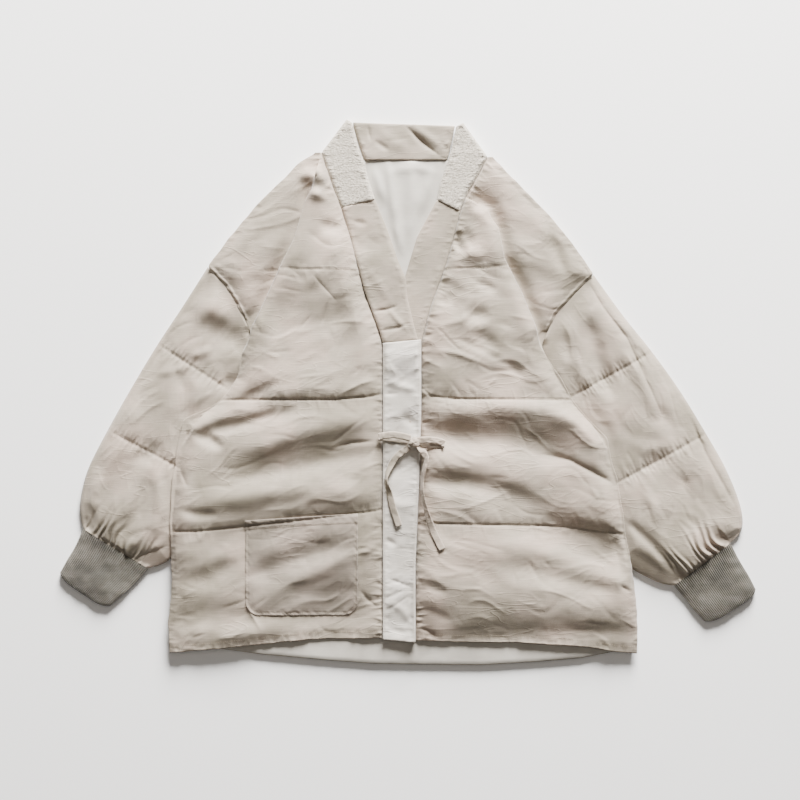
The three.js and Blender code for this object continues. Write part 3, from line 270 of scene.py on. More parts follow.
LEFT_CREASES = (
    Crease(((75, 232), (92, 200)), -3.5, 8), Crease(((26, 150), (62, 146), (84, 138)), -3.0, 10),
    Crease(((41, 124), (70, 136)), -3.0, 8), Crease(((76, 112), (118, 104)), -5.5, 11),
    Crease(((88, 90), (108, 74), (126, 56)), -4.5, 13), Crease(((30, 122), (84, 120)), -5.0, 19),
    Crease(((28, 34), (80, 28), (116, 24)), 3.0, 20),
    Crease(((198, 226), (210, 194), (224, 160)), -4.0, 9),
    Crease(((58, 236), (70, 208), (84, 188)), -7.0, 8), Crease(((70, 196), (110, 190)), 4.0, 10),
    Crease(((111, 10), (126, 21)), 1.2, 3, Fold.SHARP),
    Crease(((30, 62), (70, 54), (112, 38)), 1.8, 4),
    Crease(((62, 78), (98, 62), (140, 38)), -2.2, 6), Crease(((134, 46), (166, 16)), -3.2, 8),
    Crease(((92, 154), (126, 142)), -3.4, 7), Crease(((40, 92), (74, 100), (102, 122)), 1.6, 5),
    Crease(((34, -22), (120, -19), (190, -22), (236, -42), (270, -76)), 5.0, 15, end_depth=7.0),
    Crease(((20, -56), (73, -60), (129, -64), (185, -76), (236, -90)), -13.0, 18, end_width=26,
           end_depth=-12.0), Crease(((26, -92), (76, -94), (118, -98)), 1.2, 10),
    Crease(((24, -124), (80, -127), (128, -135), (176, -150)), -10.0, 15, end_depth=-5.0),
    Crease(((104, -148), (160, -160), (214, -186), (270, -216), (320, -244)), -10.0, 34,
           end_width=40, end_depth=-17.0, lean=0.35),
    Crease(((188, -86), (226, -94), (262, -113), (296, -132)), -5.0, 7, Fold.SHARP),
    Crease(((66, -167), (108, -152), (149, -135)), 1.2, 3, Fold.SHARP),
    Crease(((116, -208), (185, -222), (300, -262)), 2.5, 13),
    Crease(((120, -240), (200, -258), (306, -286)), -3.5, 14, end_depth=-5.0),
    Crease(((294, -268), (318, -282)), -3.5, 5, Fold.SHARP),
    Crease(((12, -266), (34, -271), (58, -282)), -2.6, 7),
    Crease(((12, -296), (40, -310), (72, -324)), -2.4, 8),
    Crease(((12, -328), (28, -334), (42, -345)), -2.8, 5, Fold.SHARP),
    Crease(((40, -294), (120, -303), (220, -306), (308, -304)), 1.4, 18),
    Crease(((56, -334), (112, -340), (200, -338), (309, -334)), -2.5, 12),
)
RIGHT_SLEEVE_CREASES = (
    Crease(((-306, 124), (-272, 114), (-234, 92)), 5.5, 19),
    Crease(((-306, 58), (-272, 38), (-236, 22)), -6.0, 34),
    Crease(((-296, 100), (-260, 88), (-226, 50)), -8.0, 22),
    Crease(((-262, 22), (-244, 12), (-230, -4)), -5.0, 13),
    Crease(((-307, 48), (-271, 62)), 3.0, 7), Crease(((-354, 25), (-303, 37)), 3.0, 8),
    Crease(((-405, -210), (-380, -170), (-362, -120)), -4.5, 9),
    Crease(((-330, 50), (-310, 0), (-312, -40)), -3.5, 12),
    Crease(((-380, -10), (-392, -60), (-424, -110)), 3.0, 10),
    Crease(((-350, -110), (-345, -170), (-360, -210)), 3.5, 9),
    Crease(((-430, -110), (-440, -150), (-436, -180)), 3.0, 9),
    Crease(((-330, -60), (-362, -90), (-400, -96)), -3.0, 10),
    Crease(((-392, -236), (-360, -224), (-334, -214)), -2.0, 4, Fold.SHARP),
)
LEFT_SLEEVE_CREASES = (
    Crease(((250, 104), (262, 68), (274, 28), (288, -12)), -6.5, 12),
    Crease(((214, 90), (222, 64), (226, 40)), -4.0, 9),
    Crease(((246, 166), (273, 120), (307, 76), (354, -28)), -3.0, 4, Fold.SHARP),
    Crease(((399, -40), (419, -88), (444, -132), (461, -162)), -3.2, 4, Fold.SHARP),
    Crease(((307, -180), (344, -215), (377, -250)), -4.0, 7),
    Crease(((300, 60), (330, 10), (350, -40)), 3.0, 9),
    Crease(((330, -130), (344, -160), (350, -196)), 3.6, 9),
    Crease(((380, -110), (396, -150), (400, -200)), -3.8, 10),
    Crease(((232, 60), (246, 20), (276, -10)), 3.0, 8),
    Crease(((340, -10), (372, -50), (380, -84)), -3.0, 9),
    Crease(((300, -60), (330, -80), (370, -78)), 2.5, 10),
)
BAND_CREASES = (
    Crease(((-52, 114), (-30, 116), (-12, 122)), -2.8, 3, Fold.SHARP),
    Crease(((-42, 86), (-16, 90), (4, 97)), -2.8, 3, Fold.SHARP),
    Crease(((-30, 120), (-10, 96), (4, 84)), 1.6, 4),
    Crease(((-60, 180), (-40, 150), (-20, 120)), 1.2, 7), Crease(((-78, 240), (-56, 236)), -1.6, 4),
)
PLACKET_CREASES = (
    Crease(((-34, 18), (-10, 9), (17, 2)), 2.4, 6),
    Crease(((-33, -3), (-12, -1)), -1.8, 3, Fold.SHARP), Crease(((-10, -32), (13, -46)), -2.2, 6),
    Crease(((-28, 44), (-16, 22)), 1.2, 3, Fold.SHARP),
    Crease(((-32, -150), (-8, -158), (14, -156)), 1.5, 7),
    Crease(((-33, -206), (-14, -214)), -1.8, 4),
    Crease(((-30, -290), (-6, -306), (8, -330)), 1.6, 6),
    Crease(((-34, -260), (-20, -263), (8, -274)), -2.0, 4, Fold.SHARP),
    Crease(((-30, -330), (0, -338)), -1.5, 5),
)
NECK_CREASES = (
    Crease(((-5, 376), (20, 352), (47, 330)), -4.5, 4, Fold.SHARP),
    Crease(((-57, 379), (-52, 352)), -2.4, 3, Fold.SHARP),
    Crease(((4, 376), (28, 358), (52, 340)), 2.0, 6),
    Crease(((-44, 372), (-20, 350), (10, 336)), 1.6, 9),
    Crease(((-48, 354), (-36, 346), (-25, 338)), -1.6, 4),
)
LINING_CREASES = (
    Crease(((-50, 320), (-40, 290), (-30, 262)), 2.6, 6),
    Crease(((-28, 322), (-22, 270), (-10, 212)), 3.4, 7),
    Crease(((4, 322), (6, 270), (0, 214)), 2.8, 9),
    Crease(((36, 318), (24, 276), (14, 240)), 2.6, 7),
    Crease(((-34, 308), (10, 316), (48, 306)), 2.2, 6), Crease(((-20, 240), (-6, 190)), 2.2, 5),
)


# ---- Shape helpers ----
def smooth(t: Array | float) -> Array:
    """Eases a share from 0 to 1."""
    t = np.clip(t, 0.0, 1.0)
    return t * t * (3 - 2 * t)


def rise(distance: Array, reach: float) -> Array:
    """Loft of padding at a distance from a pressed edge, from 0 to 1 at its reach."""
    return np.sin(math.pi / 2 * np.clip(distance / reach, 0.0, 1.0)) ** PUFF_ROUNDNESS


def bell(distance: Array, reach: Array | float) -> Array:
    """A soft bump from 1 on a line to nearly 0 at twice its reach."""
    return np.exp(-((distance / reach) ** 2))


def lengths_along(points: Array) -> Array:
    """Length travelled at each point of a row of points, from 0 at the first."""
    return np.concatenate([[0], np.cumsum(np.linalg.norm(np.diff(points, axis=0), axis=1))])


def nearest(line: Line, x: Array, y: Array) -> tuple[Array, Array]:
    """Finds the nearest place on a line.

    Args:
        line: the line's points.
        x: the plan x of each spot.
        y: the plan y of each spot.

    Returns:
        The distance, positive on the left of the line's direction, and the length along the line.
    """
    best = np.full(np.shape(x), np.inf)
    signed = np.zeros(np.shape(x))
    along = np.zeros(np.shape(x))
    travelled = 0.0
    for (ax, ay), (bx, by) in zip(line, line[1:]):
        dx, dy = bx - ax, by - ay
        length = math.hypot(dx, dy)
        t = np.clip(((x - ax) * dx + (y - ay) * dy) / length**2, 0.0, 1.0)
        distance = np.hypot(x - ax - t * dx, y - ay - t * dy)
        side = np.where(dx * (y - ay) - dy * (x - ax) < 0, -1.0, 1.0)
        closer = distance < best
        best = np.where(closer, distance, best)
        signed = np.where(closer, side * distance, signed)
        along = np.where(closer, travelled + t * length, along)
        travelled += length
    return signed, along


def distance_to(line: Line, x: Array, y: Array) -> Array:
    """Distance from each spot to a line."""
    return np.abs(nearest(line, x, y)[0])


def softened(rows: Line, at: Array, softness: float = 5.0) -> Array:
    """Reads a table of (place, value) rows with its corners softened.

    Args:
        rows: the table, in any order of its places.
        at: the places to read.
        softness: how far the corners are rounded, in mm.

    Returns:
        The values at those places.
    """
    ordered = sorted(rows)
    places, values = np.array(ordered, float).T
    shifts = np.array([-1.0, -0.5, 0.0, 0.5, 1.0]) * softness
    weights = np.array([0.12, 0.24, 0.28, 0.24, 0.12])
    return sum(w * np.interp(at + s, places, values) for w, s in zip(weights, shifts))


def edge_x(rows: Sequence[Edge], y: Array) -> Array:
    """The x of an outline at given heights."""
    return softened([(row.y, row.x) for row in rows], y)


def spline(points: Line, count: int) -> Array:
    """Points on a smooth curve through the given ones, evenly spread over its stretches.

    Args:
        points: the points that the curve passes through.
        count: how many points to return.

    Returns:
        An array of count rows.
    """
    p = np.array(points, float)
    t = np.linspace(0, len(p) - 1, count)
    i = np.minimum(t.astype(int), len(p) - 2)
    f = (t - i)[:, None]
    before, after = p[np.maximum(i - 1, 0)], p[np.minimum(i + 2, len(p) - 1)]
    a, b = p[i], p[i + 1]
    return 0.5 * (2 * a + (b - before) * f + (2 * before - 5 * a + 4 * b - after) * f**2
                  + (3 * a - before - 3 * b + after) * f**3)


def sampled(points: Line, count: int) -> Array:
    """Points evenly spread along straight stretches between the given ones, corners softened.

    Args:
        points: the corners.
        count: how many points to return.

    Returns:
        An array of count rows.
    """
    p = np.array(points, float)
    lengths = lengths_along(p)
    at = np.linspace(0, lengths[-1], count)
    out = np.zeros((count, 2))
    for shift, weight in ((-4, 0.2), (-2, 0.2), (0, 0.2), (2, 0.2), (4, 0.2)):
        place = np.clip(at + shift, 0, lengths[-1])
        out += weight * np.column_stack([np.interp(place, lengths, p[:, k]) for k in (0, 1)])
    out[0], out[-1] = p[0], p[-1]
    return out


def crease_height(creases: Sequence[Crease], x: Array, y: Array) -> Array:
    """Height that the listed creases add to the cloth, fading at both their ends.

    Args:
        creases: the creases.
        x: the plan x of each spot.
        y: the plan y of each spot.

    Returns:
        The height in mm, negative in a trough.
    """
    height = np.zeros(np.shape(x))
    for crease in creases:
        signed, along = nearest(crease.line, x, y)
        length = sum(math.dist(a, b) for a, b in zip(crease.line, crease.line[1:]))
        fade, start = SHORT_FADE if length < SHORT_CREASE else LONG_FADE
        ends = smooth(np.minimum(along, length - along) / (fade * length) + start)
        share = along / length
        width = crease.width + ((crease.end_width or crease.width) - crease.width) * share
        width = width * (END_WIDTH_KEPT + (1 - END_WIDTH_KEPT) * ends)
        depth = crease.depth + ((crease.end_depth or crease.depth) - crease.depth) * smooth(share)
        away = np.abs(signed) / (width * (1 - crease.lean * np.sign(signed)))
        form = bell(away, 1.0) if crease.fold is Fold.SOFT else np.exp(-SHARP_FALL * away)
        height += depth * form * ends
    return height


class Swell(NamedTuple):
    """One size of the cloth's broad unevenness: its height, length and width in mm, and its field."""

    height: float
    length: float
    width: float
    layer: int


class FineCrease(NamedTuple):
    """One set of broken creases.

    Attributes:
        height: how high they stand, negative for grooves.
        length: how long they run, in mm.
        width: how far apart they lie, in mm.
        turn: their turn from the main slant, in degrees.
        layer: which random field they use.
        sharpness: how narrow a crest is, as a share of their spacing.
    """

    height: float
    length: float
    width: float
    turn: float
    layer: int
    sharpness: float


@dataclass(frozen=True)
class Crumple:
    """The small random unevenness of thin cloth over wadding, the same each time for a seed."""

    FIELD: ClassVar[int] = 64
    GAIN: ClassVar[float] = 1.5
    SWELLS: ClassVar[tuple[Swell, ...]] = (
        Swell(4.0, 150, 85, 4), Swell(1.9, 80, 34, 1), Swell(0.5, 30, 17, 2),
    )
    CREASES: ClassVar[tuple[FineCrease, ...]] = (
        FineCrease(0.9, 110, 27, 0, 10, 0.24), FineCrease(-0.8, 90, 30, -12, 20, 0.24),
        FineCrease(0.35, 60, 14, 8, 30, 0.17), FineCrease(0.3, 46, 14, 40, 40, 0.17),
    )
    seed: int

    def noise(self, x: Array, y: Array, layer: int = 0) -> Array:
        """Smooth gradient noise with one step per unit.

        Args:
            x: place across the field, in steps.
            y: place up the field, in steps.
            layer: which random field to use.

        Returns:
            Values of about -1 to 1.
        """
        random = np.random.default_rng(self.seed * 31 + layer)
        angles = random.uniform(0, 2 * math.pi, (self.FIELD, self.FIELD))
        xi, yi = np.floor(x).astype(int), np.floor(y).astype(int)
        fx, fy = x - xi, y - yi
        u, v = fx**3 * (fx * (fx * 6 - 15) + 10), fy**3 * (fy * (fy * 6 - 15) + 10)
        corners = []
        for ox, oy in ((0, 0), (1, 0), (0, 1), (1, 1)):
            angle = angles[(xi + ox) % self.FIELD, (yi + oy) % self.FIELD]
            corners.append(np.cos(angle) * (fx - ox) + np.sin(angle) * (fy - oy))
        low = corners[0] + u * (corners[1] - corners[0])
        high = corners[2] + u * (corners[3] - corners[2])
        return self.GAIN * (low + v * (high - low))

    def lines(self, x: Array, y: Array, length: float, width: float, angle: float, layer: int,
              sharpness: float) -> Array:
        """Broken crease lines of one direction.

        Args:
            x: plan x.
            y: plan y.
            length: how long a crease runs, in mm.
            width: how far apart creases lie, in mm.
            angle: their direction from +X, in degrees.
            layer: which random field to use.
            sharpness: how narrow a crest is, as a share of their spacing.

        Returns:
            A height from 0 to 1 that peaks along the creases.
        """
        bend = 0.7 * self.noise(x / 70, y / 70, layer + 5)
        c, s = math.cos(math.radians(angle)), math.sin(math.radians(angle))
        along, across = (x * c + y * s) / length, (y * c - x * s) / width + bend
        crest = np.clip(1 - np.abs(self.noise(along, across, layer)) / sharpness, 0, 1) ** 1.3
        patch = smooth(self.noise(x / 58, y / 46, layer + 9) * 2.0 + 0.2)
        return crest * patch

    def height(self, x: Array, y: Array, strength: float = 1.0, slant: float = 22.0) -> Array:
        """Height of the crumpled cloth in mm: broad unevenness, slanting creases and fine ones.

        Args:
            x: plan x.
            y: plan y.
            strength: how strong all of it is.
            slant: the main direction of the creases from +X, in degrees.

        Returns:
            The height.
        """
        c, s = math.cos(math.radians(slant)), math.sin(math.radians(slant))
        along, across = x * c + y * s, y * c - x * s
        total = np.zeros(np.shape(x))
        for swell in self.SWELLS:
            total += swell.height * self.noise(along / swell.length, across / swell.width, swell.layer)
        for fine in self.CREASES:
            total += fine.height * self.lines(x, y, fine.length, fine.width, slant + fine.turn,
                                              fine.layer, fine.sharpness)
        return strength * total

    def pucker(self, distance: Array, along: Array, pitch: float, reach: float) -> Array:
        """Puckers that run square to a sewn line and fade away from it.

        Args:
            distance: how far each spot is from the line.
            along: how far along the line it is.
            pitch: how far apart the puckers lie, in mm.
            reach: how far they run from the line, in mm.

        Returns:
            Their height as a share of the depth that they are given.
        """
        wave = self.noise(along / pitch, distance / (reach * 2.2), 50)
        ridge = 1 - np.abs(self.noise(along / (pitch * 0.8), distance / (reach * 3), 51)) / 0.3
        return (0.8 * wave + 0.7 * np.clip(ridge, 0, 1)) * bell(distance, reach)


# ---- Materials ----
def linear(code: str) -> tuple[float, float, float, float]:
    """Turns an sRGB hex colour into the linear one that shaders take."""
    values = [int(code[i:i + 2], 16) / 255 for i in (1, 3, 5)]
    return (*[v / 12.92 if v <= 0.04045 else ((v + 0.055) / 1.055) ** 2.4 for v in values], 1.0)


def add_node(tree: bpy.types.NodeTree, kind: str, settings: Optional[dict] = None,
             values: Optional[dict] = None, links: Optional[dict] = None) -> bpy.types.Node:
    """Adds one node with its settings, socket values and incoming links.

    Args:
        tree: the material's node tree.
        kind: the node's type name.
        settings: attributes set on the node.
        values: constants set on its sockets, by name or number.
        links: sockets that feed its sockets, by name or number.

    Returns:
        The new node.
    """
    node = tree.nodes.new(kind)
    for key, value in (settings or {}).items():
        setattr(node, key, value)
    for key, value in (values or {}).items():
        node.inputs[key].default_value = value
    for key, source in (links or {}).items():
        tree.links.new(source, node.inputs[key])
    return node


@dataclass(frozen=True)
class Finish:
    """A cloth's finish: its yarns, its colours and how it takes the light.

    Attributes:
        name: the material's name.
        colour: its middle colour.
        shade: the darker colour of its mottle.
        tint: the paler one.
        roughness: how dull it is.
        thread_mm: how far apart its threads are drawn.
        weave_bump: how strong the weave's bump is.
        mottle_mm: how large its patches of tone are.
        sheen: the pale bloom of its fibres at a grazing angle.
        slub: how much its uneven yarns show in its colour.
        wrinkle: how strong its hairline creases are.
    """

    YARN_MM: ClassVar[tuple[float, float, float]] = (26, 1.6, 6)
    WEAVE_DEPTH_MM: ClassVar[float] = 0.35
    WRINKLE_DEPTH_MM: ClassVar[float] = 0.9
    SHEEN_ROUGHNESS: ClassVar[float] = 0.45
    SPECULAR: ClassVar[float] = 0.32
    # The directions of the hairline creases in radians, each with its own place in the noise.
    WRINKLES: ClassVar[tuple[tuple[float, float], ...]] = ((0.45, 3.0), (-0.5, 11.0), (1.25, 23.0))
    WRINKLE_STRETCH: ClassVar[tuple[float, float, float]] = (9.0, 46.0, 20.0)

    name: str
    colour: str
    shade: str
    tint: str
    roughness: float
    thread_mm: float
    weave_bump: float
    mottle_mm: float
    sheen: float = 0.25
    slub: float = 0.4
    wrinkle: float = 0.0

    def ramp(self, tree: bpy.types.NodeTree, source: bpy.types.NodeSocket,
             stops: Sequence[tuple[float, str]]) -> bpy.types.NodeSocket:
        """Colours a grey value through a ramp.

        Args:
            tree: the material's node tree.
            source: the grey value.
            stops: each stop's place and hex colour.

        Returns:
            The colour.
        """
        node = add_node(tree, "ShaderNodeValToRGB", links={"Fac": source})
        while len(node.color_ramp.elements) < len(stops):
            node.color_ramp.elements.new(0.5)
        for element, (place, code) in zip(node.color_ramp.elements, stops):
            element.position = place
            element.color = linear(code)
        return node.outputs["Color"]

    def thread_waves(self, tree: bpy.types.NodeTree,
                     place: bpy.types.NodeSocket) -> bpy.types.NodeSocket:
        """Draws crossing warp and weft.

        Args:
            tree: the material's node tree.
            place: the place on the cloth.

        Returns:
            One grey value.
        """
        waves = []
        for direction in ("X", "Y"):
            wave = add_node(tree, "ShaderNodeTexWave",
                            {"bands_direction": direction, "wave_profile": "SIN"},
                            {"Scale": math.pi / (10 * self.thread_mm * MM), "Distortion": 1.1,
                             "Detail": 2.0, "Detail Scale": 1.6},
                            {"Vector": place})
            waves.append(wave.outputs["Fac"])
        return add_node(tree, "ShaderNodeMath", {"operation": "MULTIPLY"}, None,
                        {0: waves[0], 1: waves[1]}).outputs[0]

    def wrinkles(self, tree: bpy.types.NodeTree, place: bpy.types.NodeSocket) -> bpy.types.NodeSocket:
        """Draws hairline creases, too fine for the mesh: thin ridges of stretched noise, in patches.

        Args:
            tree: the material's node tree.
            place: the place on the cloth.

        Returns:
            One grey value, 1 on a crease.
        """
        total = None
        for turn, seed in self.WRINKLES:
            spot = add_node(tree, "ShaderNodeMapping", None,
                            {"Rotation": (0, 0, turn), "Location": (seed, seed, 0),
                             "Scale": self.WRINKLE_STRETCH},
                            {"Vector": place})
            field = add_node(tree, "ShaderNodeTexNoise", None,
                             {"Scale": 1.0, "Detail": 1.0, "Distortion": 0.35},
                             {"Vector": spot.outputs["Vector"]})
            off = add_node(tree, "ShaderNodeMath", {"operation": "SUBTRACT"}, {1: 0.5},
                           {0: field.outputs["Fac"]})
            away = add_node(tree, "ShaderNodeMath", {"operation": "ABSOLUTE"}, None,
                            {0: off.outputs[0]})
            crest = add_node(tree, "ShaderNodeMapRange", {"interpolation_type": "SMOOTHSTEP"},
                             {"From Min": 0.0, "From Max": 0.016, "To Min": 1.0, "To Max": 0.0},
                             {"Value": away.outputs[0]})
            patch = add_node(tree, "ShaderNodeTexNoise", None,
                             {"Scale": 14.0 + seed / 4, "Detail": 0.0}, {"Vector": place})
            part = add_node(tree, "ShaderNodeMapRange", None, {"From Min": 0.5, "From Max": 0.66},
                            {"Value": patch.outputs["Fac"]})
            line = add_node(tree, "ShaderNodeMath", {"operation": "MULTIPLY"}, None,
                            {0: crest.outputs[0], 1: part.outputs[0]}).outputs[0]
            total = line if total is None else add_node(
                tree, "ShaderNodeMath", {"operation": "MAXIMUM"}, None, {0: total, 1: line}).outputs[0]
        return total

    def build(self) -> bpy.types.Material:
        """Makes the material: mottled dye, slubby yarns and a woven bump.

        Returns:
            The material.
        """
        material = bpy.data.materials.new(self.name)
        material.use_nodes = True
        tree = material.node_tree
        shader = tree.nodes["Principled BSDF"]
        place = add_node(tree, "ShaderNodeTexCoord").outputs["Object"]
        mottle = add_node(tree, "ShaderNodeTexNoise", None,
                          {"Scale": 1 / (self.mottle_mm * MM), "Detail": 4.0, "Roughness": 0.55},
                          {"Vector": place})
        dye = self.ramp(tree, mottle.outputs["Fac"],
                        ((0.36, self.shade), (0.5, self.colour), (0.64, self.tint)))
        stretched = add_node(tree, "ShaderNodeMapping", None,
                             {"Scale": tuple(1 / (size * MM) for size in self.YARN_MM)},
                             {"Vector": place})
        slub = add_node(tree, "ShaderNodeTexNoise", None, {"Scale": 1.0, "Detail": 2.0},
                        {"Vector": stretched.outputs["Vector"]})
        yarn = self.ramp(tree, slub.outputs["Fac"], ((0.36, "#cfcfcf"), (0.64, "#ffffff")))
        mix = add_node(tree, "ShaderNodeMix", {"data_type": "RGBA", "blend_type": "MULTIPLY"},
                       {0: self.slub * 0.5}, {6: dye, 7: yarn})
        tree.links.new(mix.outputs[2], shader.inputs["Base Color"])
        weave = self.thread_waves(tree, place)
        grain = add_node(tree, "ShaderNodeMath", {"operation": "ADD"}, None,
                         {0: weave, 1: slub.outputs["Fac"]})
        bump = add_node(tree, "ShaderNodeBump", None,
                        {"Strength": self.weave_bump, "Distance": self.WEAVE_DEPTH_MM * MM},
                        {"Height": grain.outputs[0]})
        if self.wrinkle:
            bump = add_node(tree, "ShaderNodeBump", None,
                            {"Strength": self.wrinkle, "Distance": self.WRINKLE_DEPTH_MM * MM},
                            {"Height": self.wrinkles(tree, place), "Normal": bump.outputs["Normal"]})
        tree.links.new(bump.outputs["Normal"], shader.inputs["Normal"])
        shader.inputs["Roughness"].default_value = self.roughness
        shader.inputs["Sheen Weight"].default_value = self.sheen
        shader.inputs["Sheen Roughness"].default_value = self.SHEEN_ROUGHNESS
        shader.inputs["Specular IOR Level"].default_value = self.SPECULAR
        return material


class Cloth:
    """The jacket's cloths, each made once.

    Real threads lie 0.1 to 0.5 mm apart. Each cloth's are drawn about three times as coarse, at the
    thread_mm given, so that they show, and the terry's loops too.
    """

    # Washed cotton and nylon plain weave: dull, with a faint dry gloss on the crests.
    SHELL = Finish("washed_plain_weave", "#9a8f81", "#887f70", "#a8988a", roughness=0.66, thread_mm=1.1,
                   weave_bump=0.4, mottle_mm=85, sheen=0.3, slub=0.5, wrinkle=0.28)
    # The pocket's cloth: the shell's weave with its colours darkened, painted shade that stands for the
    # shadow the pocket lies in.
    POCKET = Finish("pocket_weave_painted_shade", "#8f8478", "#7f766a", "#9b8d81", roughness=0.68, thread_mm=1.1,
                    weave_bump=0.4, mottle_mm=60, sheen=0.3, slub=0.5, wrinkle=0.28)
    # Smooth polyester lining: cooler and a little glossier than the shell.
    LINING = Finish("polyester_lining", "#b8b3aa", "#aca79e", "#beb9b0", roughness=0.5, thread_mm=0.9,
                    weave_bump=0.14, mottle_mm=60, sheen=0.15, slub=0.2)
    # Cotton terry: fully matt loops; its fine mottle paints shade for the dark gaps between them.
    TERRY = Finish("cotton_terry", "#b4ac9f", "#9a9285", "#c3bbaf", roughness=0.95, thread_mm=1.3,
                   weave_bump=0.6, mottle_mm=2.8, sheen=0.4, slub=0.1)
    # The placket's plainer cloth, a little greyer than the shell.
    PLACKET = Finish("grey_plain_weave", "#bdb7ae", "#b0aaa1", "#c4beb6", roughness=0.74, thread_mm=1.0,
                     weave_bump=0.36, mottle_mm=40, sheen=0.25, slub=0.45, wrinkle=0.4)
    # Rib-knit cotton: matt, with the knit's wales as real ribs.
    RIB = Finish("cotton_rib_knit", "#58544c", "#4c4842", "#646058", roughness=0.9, thread_mm=1.2,
                 weave_bump=0.5, mottle_mm=24, sheen=0.35, slub=0.7)
    # Polyester sewing thread: a fine dull gloss, a shade darker than the cloth.
    THREAD = Finish("polyester_thread", "#a3947f", "#988974", "#ac9d89", roughness=0.6, thread_mm=0.5,
                    weave_bump=0.2, mottle_mm=9, sheen=0.1, slub=0.2)

    _made: dict[str, bpy.types.Material] = {}

    @classmethod
    def of(cls, finish: Finish) -> bpy.types.Material:
        """The material of a finish, made on its first use.

        Args:
            finish: the cloth.

        Returns:
            Its material.
        """
        if finish.name not in cls._made:
            cls._made[finish.name] = finish.build()
        return cls._made[finish.name]


# ---- Meshes ----
def make_mesh(name: str, points: Array, faces: Array | list[list[int]],
              finish: Finish) -> bpy.types.Object:
    """Makes a smooth mesh object from points in mm.

    Args:
        name: the piece's name.
        points: an array of points.
        faces: its faces' point indices, as an array or a list.
        finish: the cloth of the piece.

    Returns:
        The linked object.
    """
    mesh = bpy.data.meshes.new(name)
    rows = faces.tolist() if isinstance(faces, np.ndarray) else faces
    mesh.from_pydata((points * MM).tolist(), [], rows)
    mesh.polygons.foreach_set("use_smooth", np.ones(len(mesh.polygons), bool))
    mesh.materials.append(Cloth.of(finish))
    mesh.update()
    piece = bpy.data.objects.new(name, mesh)
    bpy.context.scene.collection.objects.link(piece)
    return piece


def grid_faces(rows: int, columns: int, closed: bool = False) -> Array:
    """Quads of a grid of points.

    Args:
        rows: how many rows of points it has.
        columns: how many points lie in a row.
        closed: whether each row's end joins its start.

    Returns:
        The quads as rows of four indices.
    """
    row = np.arange(rows - 1)[:, None] * columns
    column = np.arange(columns if closed else columns - 1)[None, :]
    onward = (column + 1) % columns
    quads = np.stack([row + column, row + onward, row + columns + onward, row + columns + column], -1)
    return quads.reshape(-1, 4)


def ring_faces(ring: Array, onward: Array) -> list[list[int]]:
    """Quads between two closed rings of the same count of points.

    Args:
        ring: the indices of the first ring.
        onward: those of the second.

    Returns:
        The quads.
    """
    return np.stack([ring, onward, np.roll(onward, -1), np.roll(ring, -1)], 1).tolist()


def rim_of(rows: int, columns: int) -> Array:
    """Indices of a grid's rim.

    Args:
        rows: how many rows of points the grid has.
        columns: how many points lie in a row.

    Returns:
        The indices, once round.
    """
    top = np.arange(columns)
    right = np.arange(1, rows) * columns + columns - 1
    bottom = (rows - 1) * columns + np.arange(columns - 2, -1, -1)
    left = np.arange(rows - 2, 0, -1) * columns
    return np.concatenate([top, right, bottom, left])


# How a sewn edge turns down: how far each step lies out from the outline in mm, and the share of
# the way down to the foot.
TURNED_EDGE = ((0.15, 0.15), (-0.3, 0.5), (-0.9, 0.8))


def turned_sheet(name: str, plan: Array, top: Array, floor: Array | float, finish: Finish,
                 inset: float = 1.6, under: Optional[Array] = None) -> bpy.types.Object:
    """Makes a sheet whose edge turns down and under, as a sewn edge does.

    Args:
        name: the piece's name.
        plan: plan points, rows by columns by two.
        top: heights of the upper side.
        floor: height at which the edge ends, one number or one for each grid point.
        finish: the cloth.
        inset: how far the edge's foot lies inside its outline, in mm.
        under: heights of an underside that closes the piece, if it has one.

    Returns:
        The linked object.
    """
    rows, columns = top.shape
    grid = np.dstack([plan, top]).reshape(-1, 3)
    rim = rim_of(rows, columns)
    ring = grid[rim]
    tangent = (np.roll(ring, -1, 0) - np.roll(ring, 1, 0))[:, :2]
    normal = np.stack([tangent[:, 1], -tangent[:, 0]], 1)
    normal /= np.maximum(np.linalg.norm(normal, axis=1, keepdims=True), 1e-6)
    area = np.sum(ring[:, 0] * np.roll(ring[:, 1], -1) - np.roll(ring[:, 0], -1) * ring[:, 1])
    outward = normal * (1 if area > 0 else -1)
    depth = ring[:, 2] - np.broadcast_to(np.asarray(floor, float), top.shape).reshape(-1)[rim]
    points, faces = [grid], grid_faces(rows, columns).tolist()
    previous, start = rim, len(grid)
    for push, drop in (*TURNED_EDGE, (-inset, 1.0)):
        points.append(np.column_stack([ring[:, :2] + outward * push, ring[:, 2] - depth * drop]))
        current = start + np.arange(len(rim))
        faces += ring_faces(previous, current)
        previous, start = current, start + len(rim)
    if under is not None:
        middle = plan.reshape(-1, 2).mean(0)
        points.append(np.dstack([middle + (plan - middle) * 0.99, under]).reshape(-1, 3))
        faces += ring_faces(previous, start + rim)
        faces += (start + grid_faces(rows, columns)[:, ::-1]).tolist()
    return outward_faces(make_mesh(name, np.vstack(points), faces, finish), rows * columns)


def outward_faces(piece: bpy.types.Object, upper: int) -> bpy.types.Object:
    """Turns a mesh's faces so that those of its upper grid, which come first, look up.

    Args:
        piece: the sheet.
        upper: how many points its upper grid has.

    Returns:
        The same sheet.
    """
    mesh = piece.data
    normals = np.empty(len(mesh.polygons) * 3)
    mesh.polygons.foreach_get("normal", normals)
    if normals[2::3][: upper // 2].sum() < 0:
        mesh.flip_normals()
    return piece


